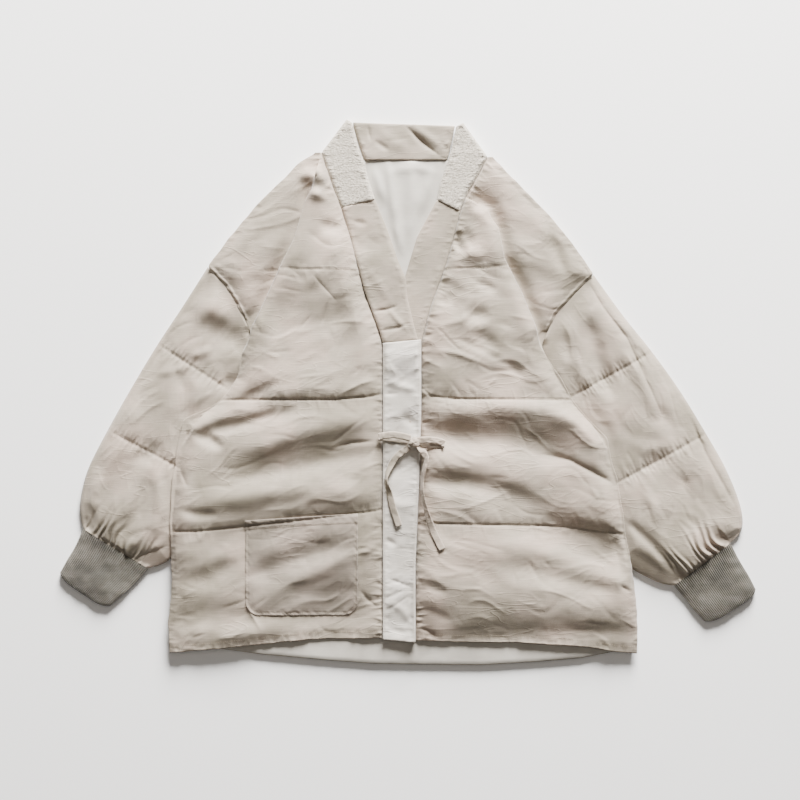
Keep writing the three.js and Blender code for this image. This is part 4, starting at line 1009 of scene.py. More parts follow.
def face_out(piece: bpy.types.Object) -> None:
    """Turns a tube's faces so that they look away from its middle.

    Args:
        piece: the tube.
    """
    mesh = piece.data
    count = len(mesh.polygons)
    normals, centres = np.empty(count * 3), np.empty(count * 3)
    mesh.polygons.foreach_get("normal", normals)
    mesh.polygons.foreach_get("center", centres)
    heights = centres[2::3]
    upper = heights > heights.max() * 0.5
    if normals[2::3][upper].sum() < 0:
        mesh.flip_normals()


def flat_area(rows: Array) -> float:
    """Plan area of a grid.

    Args:
        rows: its plan points in mm.

    Returns:
        The area in square metres.
    """
    x, y = rows[..., 0], rows[..., 1]
    a, b = (x[1:, 1:] - x[:-1, :-1]), (y[1:, :-1] - y[:-1, 1:])
    c, d = (x[1:, :-1] - x[:-1, 1:]), (y[1:, 1:] - y[:-1, :-1])
    return float(abs((a * b - c * d).sum()) / 2) * MM * MM


class Slot(Enum):
    """Names of the record's material slots."""

    SHELL = "shell_cloth"
    LINING = "lining_cloth"
    TERRY = "terry_cloth"
    PLACKET = "placket_cloth"
    RIB = "rib_knit"


def dress(piece: bpy.types.Object, slot: Slot, *nodes: str) -> bpy.types.Object:
    """Makes a piece ride on the garment, hides the solids it stands for, and logs it.

    Args:
        piece: the piece.
        slot: its material slot in the record; not used.
        nodes: the solids that it replaces.

    Returns:
        The same piece.
    """
    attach(piece, "root")
    if nodes:
        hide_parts(*nodes)
    log.info("%s: %d faces", piece.name, len(piece.data.polygons))
    return piece


# ---- Sleeves ----
@dataclass
class Sleeve:
    """A wide padded sleeve, flattened, quilted twice across and gathered into its cuff.

    Attributes:
        name: left or right.
        armhole: the seam from its outer end to its inner one.
        sections: the sleeve's cross-sections from there to the cuff.
        cuff: the cuff's.
        quilt_rows: the sections that are quilted.
        creases: the sleeve's listed creases.
        seed: the seed of its crumple.
        slant: the main direction of its crumple, in degrees.
        columns: how many points lie across its upper side.
        rows: how many lie down it.
        gathers: how many folds gather it into its cuff.
    """

    # The sides of the flattened tube as shares of its width: how far its turned edge reaches in,
    # and the underside's points with their heights over the floor.
    CORNER: ClassVar[float] = 0.03
    UNDERSIDE: ClassVar[tuple[tuple[float, float], ...]] = (
        (0.0, 6.0), (0.006, 2.4), (0.03, 0.0), (0.25, 0.0), (0.5, 0.0), (0.75, 0.0), (0.97, 0.0),
        (0.994, 2.4), (1.0, 6.0),
    )
    # What seams take from the loft: its share left on a quilt line and at the sleeve's ends, and
    # how far from each the padding is full.
    QUILT_LOFT: ClassVar[float] = 0.7
    QUILT_REACH: ClassVar[float] = 22
    END_LOFT: ClassVar[float] = 0.45
    END_REACH: ClassVar[float] = 38

    name: str
    armhole: Line
    sections: Sequence[Section]
    cuff: Sequence[Section]
    quilt_rows: tuple[int, int]
    creases: Sequence[Crease]
    seed: int
    slant: float = 50.0
    columns: int = 110
    rows: int = 250
    gathers: int = 9

    def __post_init__(self) -> None:
        """Works out the edges that the loft is measured from."""
        self.inner_edge = [self.armhole[-1], *[s.inner for s in self.sections]]
        self.outer_edge = [self.armhole[0], *[s.outer for s in self.sections]]
        self.cuff_seam = (self.sections[-1].inner, self.sections[-1].outer)
        self.quilt = [(self.sections[i].inner, self.sections[i].outer) for i in self.quilt_rows]
        self.crumple = Crumple(self.seed)

    def plan(self, shares: Array) -> Array:
        """Lays the sleeve out in plan.

        Args:
            shares: places across it as shares of its width, from its inner edge.

        Returns:
            Plan points, one row for each step down the sleeve.
        """
        inner = spline(self.inner_edge, self.rows)
        outer = spline(self.outer_edge, self.rows)
        points = inner[:, None, :] + shares[None, :, None] * (outer - inner)[:, None, :]
        seam = np.array(self.armhole[::-1], float)
        lengths = lengths_along(seam)
        places = shares * lengths[-1]
        bowed = np.column_stack([np.interp(places, lengths, seam[:, k]) for k in (0, 1)])
        fade = 1 - smooth(np.arange(self.rows) / (self.rows / len(self.sections)))
        return points + fade[:, None, None] * (bowed - points[0])[None]

    def gather(self, along: Array, away: Array) -> Array:
        """The folds that gather the sleeve into its cuff.

        Args:
            along: how far along the cuff's seam each spot is.
            away: how far it is from that seam.

        Returns:
            The folds' height, with the finer ones between them.
        """
        length = math.dist(*self.cuff_seam)
        phase = along / length * self.gathers + 0.8 * self.crumple.noise(along / 21, away / 40, 60)
        share = 0.75 + 0.7 * self.crumple.noise(along / 19, away * 0 + 0.4, 61)
        main = 2.7 * share * np.cos(2 * math.pi * phase) * bell(away, 20 + 16 * share)
        return main + 1.0 * np.cos(2 * math.pi * phase * 1.9) * bell(away, 12)

    def top(self, x: Array, y: Array) -> Array:
        """Height of the upper side.

        Args:
            x: plan x.
            y: plan y.

        Returns:
            The height in mm.
        """
        inside = distance_to(self.inner_edge, x, y)
        edge = np.minimum(inside, distance_to(self.outer_edge, x, y))
        loft = np.ones(np.shape(x))
        puckers = np.zeros(np.shape(x))
        for line in self.quilt:
            signed, along = nearest(line, x, y)
            away = np.abs(signed)
            left = self.QUILT_LOFT + (1 - self.QUILT_LOFT) * rise(away, self.QUILT_REACH)
            loft = np.minimum(loft, left)
            puckers += 1.7 * self.crumple.pucker(away, along, 11, 12) - 0.8 * bell(away, 1.5)
        seam_away, seam_along = nearest(self.armhole, x, y)
        cuff_away, cuff_along = nearest(self.cuff_seam, x, y)
        cuff_away, seam_away = np.abs(cuff_away), np.abs(seam_away)
        from_end = rise(np.minimum(seam_away, cuff_away), self.END_REACH)
        closed = self.END_LOFT + (1 - self.END_LOFT) * from_end
        shape = SLEEVE_LOFT * loft * closed * rise(edge, SLEEVE_REACH)
        gather = self.gather(cuff_along, cuff_away)
        puckers += 0.9 * self.crumple.pucker(seam_away, seam_along, 9, 9)
        mask = smooth((inside - 14) / 16) * smooth(edge / 10)
        creases = crease_height(self.creases, x, y)
        folds = np.maximum(creases, 0) + self.crumple.height(x, y, 1.05, self.slant)
        own = SLEEVE_EDGE_HEIGHT + shape + (folds + gather + puckers) * mask
        own = np.maximum(own + np.minimum(creases, 0) * smooth(edge / 12), SLEEVE_EDGE_HEIGHT - 1)
        # Down onto the cuff, and level with the front at the armhole, with the stitches' groove.
        onto_cuff = CUFF_HEIGHT + 0.3 + 0.35 * gather
        own = own + (onto_cuff - own) * bell(cuff_away, 3.5) * smooth(edge / 6)
        joined = bell(seam_away, 16) * smooth(edge / 14)
        groove = 0.8 * bell(seam_away, 1.6) * smooth(edge / 14)
        return own + (ARMHOLE_LEVEL - own) * joined - groove

    def build(self) -> list[bpy.types.Object]:
        """Builds the sleeve and its cuff.

        Returns:
            Both pieces.
        """
        upper = np.linspace(self.CORNER, 1 - self.CORNER, self.columns)[::-1]
        lower, foot = np.array(self.UNDERSIDE).T
        plan = self.plan(np.concatenate([lower, upper]))
        columns = plan.shape[1]
        z = self.top(plan[..., 0], plan[..., 1])
        z[:, :len(lower)] = foot
        points = np.dstack([plan, z]).reshape(-1, 3)
        faces = grid_faces(self.rows, columns, True)
        piece = make_mesh(f"{self.name}_sleeve_cloth", points, faces, Cloth.SHELL)
        face_out(piece)
        dress(piece, Slot.SHELL, f"{self.name}_sleeve")
        return [piece, RibCuff(self.name, self.cuff, self.seed + 3).build()]


@dataclass
class RibCuff:
    """A rib-knit cuff: a flattened tube whose wales are real ribs, with a turned-in mouth.

    Attributes:
        name: left or right.
        sections: its cross-sections from the sleeve to its mouth.
        seed: the seed of its crumple.
        rib_pitch: how far apart its ribs lie.
        rib_height: how far they stand out.
        rows: how many points lie down it.
        points_per_rib: how many lie round one rib.
    """

    # The flattened tube's section: how finely it is measured, and how square it is across and up.
    RING_STEPS: ClassVar[int] = 4001
    FLATNESS: ClassVar[tuple[float, float]] = (0.55, 0.45)
    # The mouth's inner ring, a little smaller than the outer one.
    MOUTH: ClassVar[tuple[float, float, float]] = (0.985, 0.985, 0.72)

    name: str
    sections: Sequence[Section]
    seed: int
    rib_pitch: float = 2.7
    rib_height: float = 0.55
    rows: int = 44
    points_per_rib: int = 7

    def ring(self, width: float, count: int) -> tuple[Array, Array]:
        """Cross-section of the flattened tube.

        Args:
            width: the cuff's width.
            count: how many points lie round it.

        Returns:
            The share across the cuff and the height from -1 to 1 of each evenly spaced point.
        """
        angle = np.linspace(0, 2 * math.pi, self.RING_STEPS)
        across = 0.5 - 0.5 * np.sign(np.cos(angle)) * np.abs(np.cos(angle)) ** self.FLATNESS[0]
        lift = np.sign(np.sin(angle)) * np.abs(np.sin(angle)) ** self.FLATNESS[1]
        steps = np.hypot(np.diff(across) * width, np.diff(lift) * CUFF_HEIGHT / 2)
        lengths = np.concatenate([[0], np.cumsum(steps)])
        at = np.linspace(0, lengths[-1], count, endpoint=False)
        return np.interp(at, lengths, across), np.interp(at, lengths, lift)

    def build(self) -> bpy.types.Object:
        """Builds the ribbed tube.

        Returns:
            The piece.
        """
        outer = spline([s.outer for s in self.sections], self.rows)
        inner = spline([s.inner for s in self.sections], self.rows)
        width = float(np.linalg.norm(outer - inner, axis=1).mean())
        ribs = int(2 * (width + 6) / self.rib_pitch)
        count = ribs * self.points_per_rib
        across, lift = self.ring(width, count)
        crumple = Crumple(self.seed)
        share = np.linspace(0, 1, self.rows)[:, None]
        plan = inner[:, None, :] + across[None, :, None] * (outer - inner)[:, None, :]
        onward = (outer + inner)[-1] - (outer + inner)[-2]
        onward /= np.linalg.norm(onward)
        bow = 2.0 - 8.0 * np.abs(2 * across - 1) ** 5
        plan = plan + (bow[None, :] * smooth((share - 0.45) / 0.55))[..., None] * onward
        x, y = plan[..., 0], plan[..., 1]
        rib = self.rib_height * np.cos(np.arange(count) / self.points_per_rib * 2 * math.pi)[None, :]
        half = (CUFF_HEIGHT / 2) * (1 - 0.22 * smooth((share - 0.9) / 0.1) + 0.12 * np.cos(share * 9))
        middle = CUFF_HEIGHT / 2
        z = middle + lift[None, :] * half + rib * np.abs(lift)[None, :]
        uneven = 0.9 * crumple.noise(x / 22, y / 16, 1) + 0.4 * crumple.noise(x / 9, y / 9, 2)
        z += np.where(lift > 0, 1, 0)[None, :] * uneven
        z = np.where(lift[None, :] < 0, np.maximum(z, 0.0), z)
        z[:, lift < -0.5] = np.maximum(0, 0.25 - rib[:, lift < -0.5] * 0.45)
        sheet = np.dstack([plan, z])
        mouth = sheet[-1:]
        centre = mouth.mean(1, keepdims=True)
        turned = centre + (mouth - centre) * np.array(self.MOUTH)
        tucked = turned + (sheet[-8] - sheet[-1])[None] * 0.9
        rings = np.concatenate([sheet, turned, tucked], 0)
        faces = grid_faces(len(rings), count, True)
        piece = make_mesh(f"{self.name}_cuff_rib", rings.reshape(-1, 3), faces, Cloth.RIB)
        face_out(piece)
        dress(piece, Slot.RIB, f"{self.name}_cuff")
        return piece


# ---- Fronts ----
@dataclass
class FrontPanel:
    """One padded front: quilted across three times, folded over at the chest and creased.

    Attributes:
        name: left or right.
        side: its outer edge.
        seam: its edge at the band.
        hem: its lower edge.
        hem_level: how low its corner at the side lies.
        quilt: its quilt lines from the top.
        fold: the chest's fold over the shoulder.
        fold_side: 1 where the chest lies on the left of the fold's direction, else -1.
        creases: its listed creases.
        sleeve: the sleeve that it overlaps.
        sleeve_side: 1 where the sleeve lies on the left of its inner edge's direction, else -1.
        seed: the seed of its crumple.
        slant: the main direction of its crumple, in degrees.
        columns: how many points lie across it.
        rows: how many lie down it.
        hem_curve_start: the height where its rows start to bend to the hem.
        hem_reach: how far above the hem the padding is full.
        quilt_strengths: how deep each quilt line is pulled in.
    """

    # A quilt line: its pull on the loft, and its reach up and down from the line.
    QUILT_PULL: ClassVar[float] = 0.26
    QUILT_REACH: ClassVar[tuple[float, float]] = (16.0, 44.0)
    PUCKER_REACH: ClassVar[tuple[float, float]] = (11.0, 15.0)
    # How far in from the seam and the side the padding is full.
    SEAM_REACH: ClassVar[float] = 30
    SIDE_REACH: ClassVar[float] = 26
    # Turned edges add this to the flat size, and the surface's slopes this share to its area.
    TURNED_IN_MM: ClassVar[float] = 12
    SLOPE_SHARE: ClassVar[float] = 1.07

    name: str
    side: Sequence[Edge]
    seam: Sequence[Edge]
    hem: Line
    hem_level: float
    quilt: Sequence[Line]
    fold: Line
    fold_side: int
    creases: Sequence[Crease]
    sleeve: Sleeve
    sleeve_side: int
    seed: int
    slant: float = 22.0
    columns: int = 186
    rows: int = 424
    hem_curve_start: float = -285.0
    hem_reach: float = 220.0
    quilt_strengths: tuple[float, ...] = (0.35, 1.0, 0.85)

    def __post_init__(self) -> None:
        """Works out the lines that the loft is measured from."""
        self.crumple = Crumple(self.seed)
        self.side_line = [(row.x, row.y) for row in self.side]
        self.seam_line = [(row.x, row.y) for row in self.seam]

    def plan(self) -> Array:
        """Lays the panel out in plan.

        Returns:
            Plan points from the side to the seam, one row for each height.
        """
        y = np.linspace(self.side[0].y - 1, self.hem_level, self.rows)
        side, seam = edge_x(self.side, y), edge_x(self.seam, y)
        inward = np.sign(seam - side)
        side = side + 0.8 * self.crumple.noise(y / 16, y * 0 + 3.3, 70)
        seam = seam - inward * SEAM_GAP / 2
        share = np.linspace(0, 1, self.columns)[None, :]
        x = side[:, None] + share * (seam - side)[:, None]
        curve = self.hem_curve_start - self.hem_level
        drop = np.clip((self.hem_curve_start - y) / curve, 0, 1)[:, None]
        level = y[:, None] + (softened(self.hem, x, 9) - self.hem_level) * drop
        level = level + 0.7 * drop * self.crumple.noise(x / 17, x * 0 + 1.7, 71)
        return np.dstack([x, level])

    def quilting(self, x: Array, y: Array) -> tuple[Array, Array]:
        """What the quilt lines do to the padding.

        Args:
            x: plan x.
            y: plan y.

        Returns:
            The share of its loft that they leave, and the height of their puckers and grooves.
        """
        sewn = np.ones(np.shape(x))
        puckers = np.zeros(np.shape(x))
        for line, strength in zip(self.quilt, self.quilt_strengths):
            over, along = nearest(line, x, y)
            away = np.abs(over)
            above = y > np.interp(x, *np.array(sorted(line), float).T)
            reach = np.where(above, *self.QUILT_REACH)
            sewn = np.minimum(sewn, 1 - self.QUILT_PULL * strength * (1 - rise(away / reach, 1.0)))
            uneven = 0.3 + 0.7 * smooth(0.45 + 1.6 * self.crumple.noise(along / 52, y / 200, 60))
            pucker = self.crumple.pucker(away, along, 17, np.where(above, *self.PUCKER_REACH))
            puckers += (0.5 + 0.9 * strength) * uneven * pucker
            puckers -= (0.3 + strength) * bell(away, 1.3)
        return sewn, puckers

    def seam_puckers(self, away: Array, along: Array, y: Array) -> Array:
        """Gathers along the seam at the band, and the pinch of its stitches.

        Args:
            away: how far each spot is from the seam.
            along: how far along the seam it is.
            y: plan y.

        Returns:
            Their height.
        """
        gathered = 0.35 + 0.65 * smooth(0.5 + 1.7 * self.crumple.noise(along / 38, y / 300, 63))
        pinch = 0.6 + 1.6 * np.abs(self.crumple.noise(along / 13, y * 0 + 0.3, 62))
        gathers = 2.5 * gathered * self.crumple.pucker(away, along, 11, 13) * smooth(away / 1.5)
        return gathers - 2.6 * pinch * bell(away, 1.9)

    def height(self, x: Array, y: Array) -> Array:
        """Height of the panel's upper side.

        Args:
            x: plan x.
            y: plan y.

        Returns:
            The height in mm.
        """
        side, _ = nearest(self.side_line, x, y)
        seam, seam_along = nearest(self.seam_line, x, y)
        hem, hem_along = nearest(self.hem, x, y)
        side, seam, hem = np.abs(side), np.abs(seam), np.abs(hem)
        # The padding's loft, which the chest carries on over the fold at the shoulder.
        signed = nearest(self.fold, x, y)[0] * self.fold_side
        chest = smooth(0.5 + signed / 4)
        near_seam = rise(seam, self.SEAM_REACH)
        edges = rise(side, self.SIDE_REACH) * near_seam
        upper = smooth((y - 40) / 40)
        folded = edges + (np.maximum(edges, 0.85 * near_seam) - edges) * chest * upper
        puff = SHOULDER_PUFF + (CHEST_PUFF - SHOULDER_PUFF) * chest
        loft = puff * (0.12 + 0.88 * smooth(hem / self.hem_reach))
        sewn, puckers = self.quilting(x, y)
        puckers += self.seam_puckers(seam, seam_along, y)
        puckers += 0.9 * self.crumple.pucker(hem, hem_along, 12, 10)
        puckers += 1.0 * self.crumple.pucker(side, y, 10, 9)
        # The fold's own roll with the hollow beside it, and the welt of the armhole's seam.
        bulge = 4.5 * bell(signed - 8, 11) - 9.0 * bell(signed + 5, 13)
        armhole = smooth((y - 84) / 6) * smooth((178 - y) / 6)
        welt = 0.9 * bell(side - 3.0, 1.4) * armhole
        folds = crease_height(self.creases, x, y) * smooth(side / 18) * smooth(seam / 13 + 0.2)
        folds = folds + self.crumple.height(x, y, 1.0, self.slant) * smooth(side / 9 + 0.1)
        shell = SHELL_THICKNESS * (0.5 + 0.5 * smooth(hem / 16))
        own = FRONT_FLOOR + shell + loft * sewn * folded + folds + puckers + bulge * upper + welt
        own = np.maximum(own, FRONT_FLOOR + 2.2 + 0.1 * folds)
        return np.maximum(own, self.over_sleeve(x, y))

    def overhang(self, plan: Array) -> Array:
        """Rolls the chest's fold out over the shoulder.

        Args:
            plan: the plan points.

        Returns:
            The moved plan points.
        """
        x, y = plan[..., 0], plan[..., 1]
        signed = nearest(self.fold, x, y)[0] * self.fold_side
        ends = smooth((y - 62) / 30) * smooth((self.fold[0][1] - 8 - y) / 30)
        push = FOLD_OVERHANG * smooth((signed + 1) / 3) * (1 - smooth(signed / 26)) * ends
        return plan + push[..., None] * np.array([-0.9 * self.fold_side, 0.35])

    def over_sleeve(self, x: Array, y: Array) -> Array:
        """Lowest height that clears the sleeve under this panel.

        Args:
            x: plan x.
            y: plan y.

        Returns:
            The height, 0 where no sleeve lies under it.
        """
        inside = self.sleeve_side * nearest(self.sleeve.inner_edge, x, y)[0]
        under = (inside > -4) & (y < self.sleeve.armhole[-1][1] + 2)
        return np.where(under, self.sleeve.top(x, y) + SLEEVE_CLEARANCE, 0.0)

    def build(self) -> bpy.types.Object:
        """Builds the panel with its edges turned down onto what it lies on.

        Returns:
            The piece.
        """
        plan = self.plan()
        x, y = plan[..., 0], plan[..., 1]
        top = self.height(x, y)
        clear = self.over_sleeve(x, y)
        floor = np.where(clear > 0, clear - 2.2, FRONT_FLOOR)
        piece = turned_sheet(f"{self.name}_front_cloth", self.overhang(plan), top, floor, Cloth.SHELL)
        dress(piece, Slot.SHELL, f"{self.name}_front")
        return piece


# ---- Bands and placket ----
@dataclass
class Band:
    """A flat band or strip between two edges, lying at its own level, with soft cross creases.

    Attributes:
        name: the piece's name.
        node: the solid that it replaces.
        sections: its cross-sections from its first end.
        level: height of what it lies on, from the plan's y.
        finish: its cloth.
        slot: its material slot.
        seed: the seed of its crumple.
        thickness: how thick it is.
        crown: how far its edges are pressed down.
        spacing: how far apart its points lie.
        crumple_strength: how crumpled it is.
        pile: how high its loops stand.
        creases: its listed creases.
        seam: the seam that its outer edge follows, if it has one.
        foot: height at which its edges end, the same as the level if not given.
    """

    name: str
    node: str
    sections: Sequence[Section]
    level: Callable[[Array], Array]
    finish: Finish
    slot: Slot
    seed: int
    thickness: float = BAND_THICKNESS
    crown: float = 1.0
    spacing: float = 1.6
    crumple_strength: float = 0.65
    pile: float = 0.0
    creases: Sequence[Crease] = ()
    seam: Optional[Sequence[Edge]] = None
    foot: Optional[Callable[[Array], Array]] = None

    def build(self) -> bpy.types.Object:
        """Builds the band.

        Returns:
            The piece.
        """
        outer_points = [s.outer for s in self.sections]
        inner_points = [s.inner for s in self.sections]
        length = sum(math.dist(a, b) for a, b in zip(outer_points, outer_points[1:]))
        rows = max(12, int(length / self.spacing))
        outer = sampled(outer_points, rows)
        inner = sampled(inner_points, rows)
        if self.seam is not None:
            on_seam = outer[:, 1] <= self.seam[0].y
            outer[:, 0] = np.where(on_seam, edge_x(self.seam, outer[:, 1]), outer[:, 0])
        across = inner - outer
        widths = np.linalg.norm(across, axis=1, keepdims=True)
        outer = outer + across / widths * SEAM_GAP / 2
        columns = max(10, int(float(widths.mean()) / self.spacing))
        share = np.linspace(0, 1, columns)[None, :, None]
        plan = outer[:, None, :] + share * (inner - outer)[:, None, :]
        x, y = plan[..., 0], plan[..., 1]
        crumple = Crumple(self.seed)
        edge = np.minimum(share[..., 0], 1 - share[..., 0]) * widths
        ends = np.minimum(np.arange(rows), np.arange(rows)[::-1])[:, None] * self.spacing
        rounded = rise(edge, 5) * (0.85 + 0.15 * rise(ends, 4))
        top = self.level(y) + self.thickness - self.crown + self.crown * 1.6 * rounded
        folds = crease_height(self.creases, x, y) + crumple.height(x, y, self.crumple_strength)
        puckers = 1.4 * crumple.pucker(edge, y, 8, 8)
        top = top + (folds + puckers) * smooth(edge / 7)
        if self.pile:
            loops = np.abs(crumple.noise(x / 1.9, y / 1.9, 81))
            loops = loops + 0.6 * np.abs(crumple.noise(x / 1.1, y / 1.1, 82))
            top = top + self.pile * loops
        foot = (self.foot or self.level)(y)
        piece = turned_sheet(self.name, plan, top, foot, self.finish, inset=0.8)
        dress(piece, self.slot, self.node)
        return piece


def wrap_level(y: Array) -> Array:
    """Level of the right band, which climbs onto the left one."""
    return FRONT_FLOOR + (WRAP_FLOOR - FRONT_FLOOR) * smooth((215 - y) / 39)


def lining_level(y: Array) -> Array:
    """Level of what lies on the lining."""
    return FRONT_FLOOR + 0 * y


def over_band_level(y: Array) -> Array:
    """Level of what lies on the left band."""
    return WRAP_FLOOR + 0 * y


def terry_foot(y: Array) -> Array:
    """Foot of the terry pieces: on the lining, and on the floor beyond the neck seam."""
    return FRONT_FLOOR * smooth((330.6 - y) / 4.4)


def neck_level(y: Array) -> Array:
    """Level of the back neck band, on the floor."""
    return 0 * y


def floor_level(y: Array) -> Array:
    """Foot of what lies on the floor."""
    return 0.1 + 0 * y


# ---- Back, lining and neck ----
@dataclass
class Back:
    """The padded back on the floor and the smooth lining on it.

    Attributes:
        columns: how many points lie across it.
        rows: how many lie down it.
        neck_edge: the height in plan of its edge at the neck.
    """

    HEM_CURVE_START: ClassVar[float] = -285.0
    LAST_ROW: ClassVar[float] = -356.0
    # The quilt lines' heights, and the groove of each in the underside.
    QUILT_LEVELS: ClassVar[tuple[float, ...]] = (172.0, -10.0, -190.0)
    GROOVE: ClassVar[tuple[float, float]] = (1.6, 7)

    columns: int = 150
    rows: int = 150
    neck_edge: float = 325.7

    def outline(self) -> tuple[list[Edge], list[Edge]]:
        """Gathers the edges: shoulders, armholes, then the sleeves' inner edges.

        Returns:
            The right and the left edge.
        """
        clear = 0.6
        right = [Edge(self.neck_edge, -146)] + [e for e in RIGHT_SIDE if 83 <= e.y < 320]
        right += [Edge(s.inner[1], s.inner[0] + clear) for s in RIGHT_SLEEVE[:6]]
        right += [Edge(-262, -325), Edge(-310, -328), Edge(-354, -330)]
        left = [Edge(self.neck_edge, 122)] + [e for e in LEFT_SIDE if 66 <= e.y < 320]
        left += [Edge(s.inner[1], s.inner[0] - clear) for s in LEFT_SLEEVE[:6]]
        left += [Edge(-262, 309), Edge(-310, 317), Edge(-358, 318)]
        return right, left

    def plan(self, hem_inset: float) -> Array:
        """Lays the back out in plan.

        Args:
            hem_inset: how far the hem is drawn in, in mm.

        Returns:
            Plan points, from the neck to the hem.
        """
        right, left = self.outline()
        y = np.linspace(self.neck_edge, self.LAST_ROW, self.rows)
        a, b = edge_x(right, y), edge_x(left, y)
        share = np.linspace(0, 1, self.columns)[None, :]
        x = a[:, None] + share * (b - a)[:, None]
        curve = self.HEM_CURVE_START - self.LAST_ROW
        drop = np.clip((self.HEM_CURVE_START - y) / curve, 0, 1)[:, None]
        level = y[:, None] + (softened(BACK_HEM, x, 9) + hem_inset - self.LAST_ROW) * drop
        return np.dstack([x, level])

    def build(self) -> list[bpy.types.Object]:
        """Builds the back and the lining.

        Returns:
            Both pieces.
        """
        plan = self.plan(0.4)
        y = plan[..., 1]
        depth, reach = self.GROOVE
        channel = sum(depth * bell(y - level, reach) for level in self.QUILT_LEVELS)
        top = np.full(y.shape, BACK_THICKNESS - 0.2)
        back = turned_sheet("back_cloth", plan, top, 0.9, Cloth.SHELL, inset=2.4, under=channel)
        dress(back, Slot.SHELL, "back")
        area = flat_area(plan)
        return [back, self.lining(area)]

    def lining(self, area: float) -> bpy.types.Object:
        """Builds the lining, which is free to crease in the neck opening and below the fronts' hem.

        Args:
            area: the back's plan area in square metres; not used.

        Returns:
            The piece.
        """
        plan = self.plan(1.4)
        x, y = plan[..., 0], plan[..., 1]
        crumple = Crumple(91)
        hem = distance_to(BACK_HEM, x, y)
        ripple = 0.8 + 0.55 * np.maximum(crumple.height(x, y, 0.5), -1)
        ripple = ripple + 0.8 * crumple.pucker(hem, x, 13, 16)
        in_neck = smooth((250 - np.abs(y - 240) * 2.2) / 60) * (np.abs(x + 4) < 52)
        free = np.maximum(in_neck, smooth((40 - hem) / 12))
        folds = crease_height(LINING_CREASES, x, y)
        top = LINING_TOP - 0.9 + free * (0.6 * ripple + folds) * smooth(hem / 3)
        top = np.minimum(top, np.where(y > -330, LINING_TOP + 5, LINING_TOP + 1.2))
        lining = turned_sheet("back_lining_cloth", plan, top, BACK_THICKNESS + 0.1, Cloth.LINING,
                              inset=1.0)
        dress(lining, Slot.LINING, "back_lining")
        return lining


# ---- Pocket ----
@dataclass
class Pocket:
    """A patch pocket with round lower corners and a turned hem, sewn onto the right front.

    Attributes:
        panel: the front that it is sewn to.
        left: the x of its left edge in plan.
        right: the x of its right edge.
        left_top: the y of its top edge at the left.
        right_top: the same at the right.
        bottom: the y of its lower edge.
        radius: its lower corners' radius.
        hem_depth: how deep the hem is turned.
        cell: how far apart its points lie.
    """

    panel: FrontPanel
    left: float = POCKET_LEFT
    right: float = POCKET_RIGHT
    left_top: float = -179.0
    right_top: float = -169.0
    bottom: float = POCKET_BOTTOM
    radius: float = POCKET_RADIUS
    hem_depth: float = 12.0
    cell: float = 1.5

    def top_at(self, x: Array) -> Array:
        """Height in plan of the slanting top edge."""
        share = (x - self.left) / (self.right - self.left)
        return self.left_top + share * (self.right_top - self.left_top)

    def edge(self, x: Array, y: Array) -> Array:
        """Distance in from the pocket's rounded outline.

        Args:
            x: plan x.
            y: plan y.

        Returns:
            The distance, negative outside.
        """
        inside = np.minimum.reduce([x - self.left, self.right - x, y - self.bottom, self.top_at(x) - y])
        cx = np.clip(x, self.left + self.radius, self.right - self.radius)
        low = self.bottom + self.radius
        corner = self.radius - np.hypot(x - cx, y - low)
        return np.where((y < low) & (cx != x), corner, inside)

    def plan(self) -> Array:
        """Lays the pocket out in plan.

        Returns:
            Rows from the top, narrowed at the bottom by the round corners.
        """
        columns = int((self.right - self.left) / self.cell)
        share = np.linspace(0, 1, columns)[None, :]
        depth = np.linspace(0, 1, int((self.left_top - self.bottom) / self.cell))[:, None]
        top = self.left_top + share * (self.right_top - self.left_top)
        y = top + depth * (self.bottom - top)
        fall = np.clip(self.bottom + self.radius - y, 0, self.radius)
        inset = self.radius - np.sqrt(np.maximum(self.radius**2 - fall**2, 0))
        inset = np.minimum(inset, self.radius * 0.86)
        x = self.left + inset + share * (self.right - self.left - 2 * inset)
        return np.dstack([x, y])

    def height(self, x: Array, y: Array) -> Array:
        """Height of the pocket's upper side: the panel's own form, a cloth higher.

        Args:
            x: plan x.
            y: plan y.

        Returns:
            The height in mm.
        """
        edge = self.edge(x, y)
        top_line = self.top_at(x)
        in_hem = smooth((self.hem_depth - (top_line - y)) / 1.2 + 0.5)
        seam = bell(edge - 3.2, 1.1) * (1 - in_hem)
        thick = 0.9 + 0.5 * in_hem + 0.9 * smooth(edge / 12) - 0.4 * seam
        gape = 0.7 * bell(top_line - y, 9) * smooth(edge / 3)
        puckers = 0.8 * Crumple(17).pucker(np.abs(edge), x + y, 9, 6)
        return self.panel.height(x, y) + thick + gape + puckers

    def build(self) -> bpy.types.Object:
        """Builds the pocket.

        Returns:
            The piece.
        """
        plan = self.plan()
        x, y = plan[..., 0], plan[..., 1]
        foot = self.panel.height(x, y) + 0.1
        # The pocket's cloth carries painted shade: its colours are darker than the shell's.
        piece = turned_sheet("pocket_cloth", plan, self.height(x, y), foot, Cloth.POCKET, inset=0.6)
        dress(piece, Slot.SHELL, "pocket")
        return piece


# ---- Tie ----
class StrapRow(NamedTuple):
    """One section of a strap.

    Attributes:
        x: its middle's x.
        y: its middle's y.
        rise: how far it stands over what is under it.
        width: its width's direction, in degrees.
        roll: how far it rolls onto its edge, in degrees.
    """

    x: float
    y: float
    rise: float
    width: float
    roll: float = 0.0


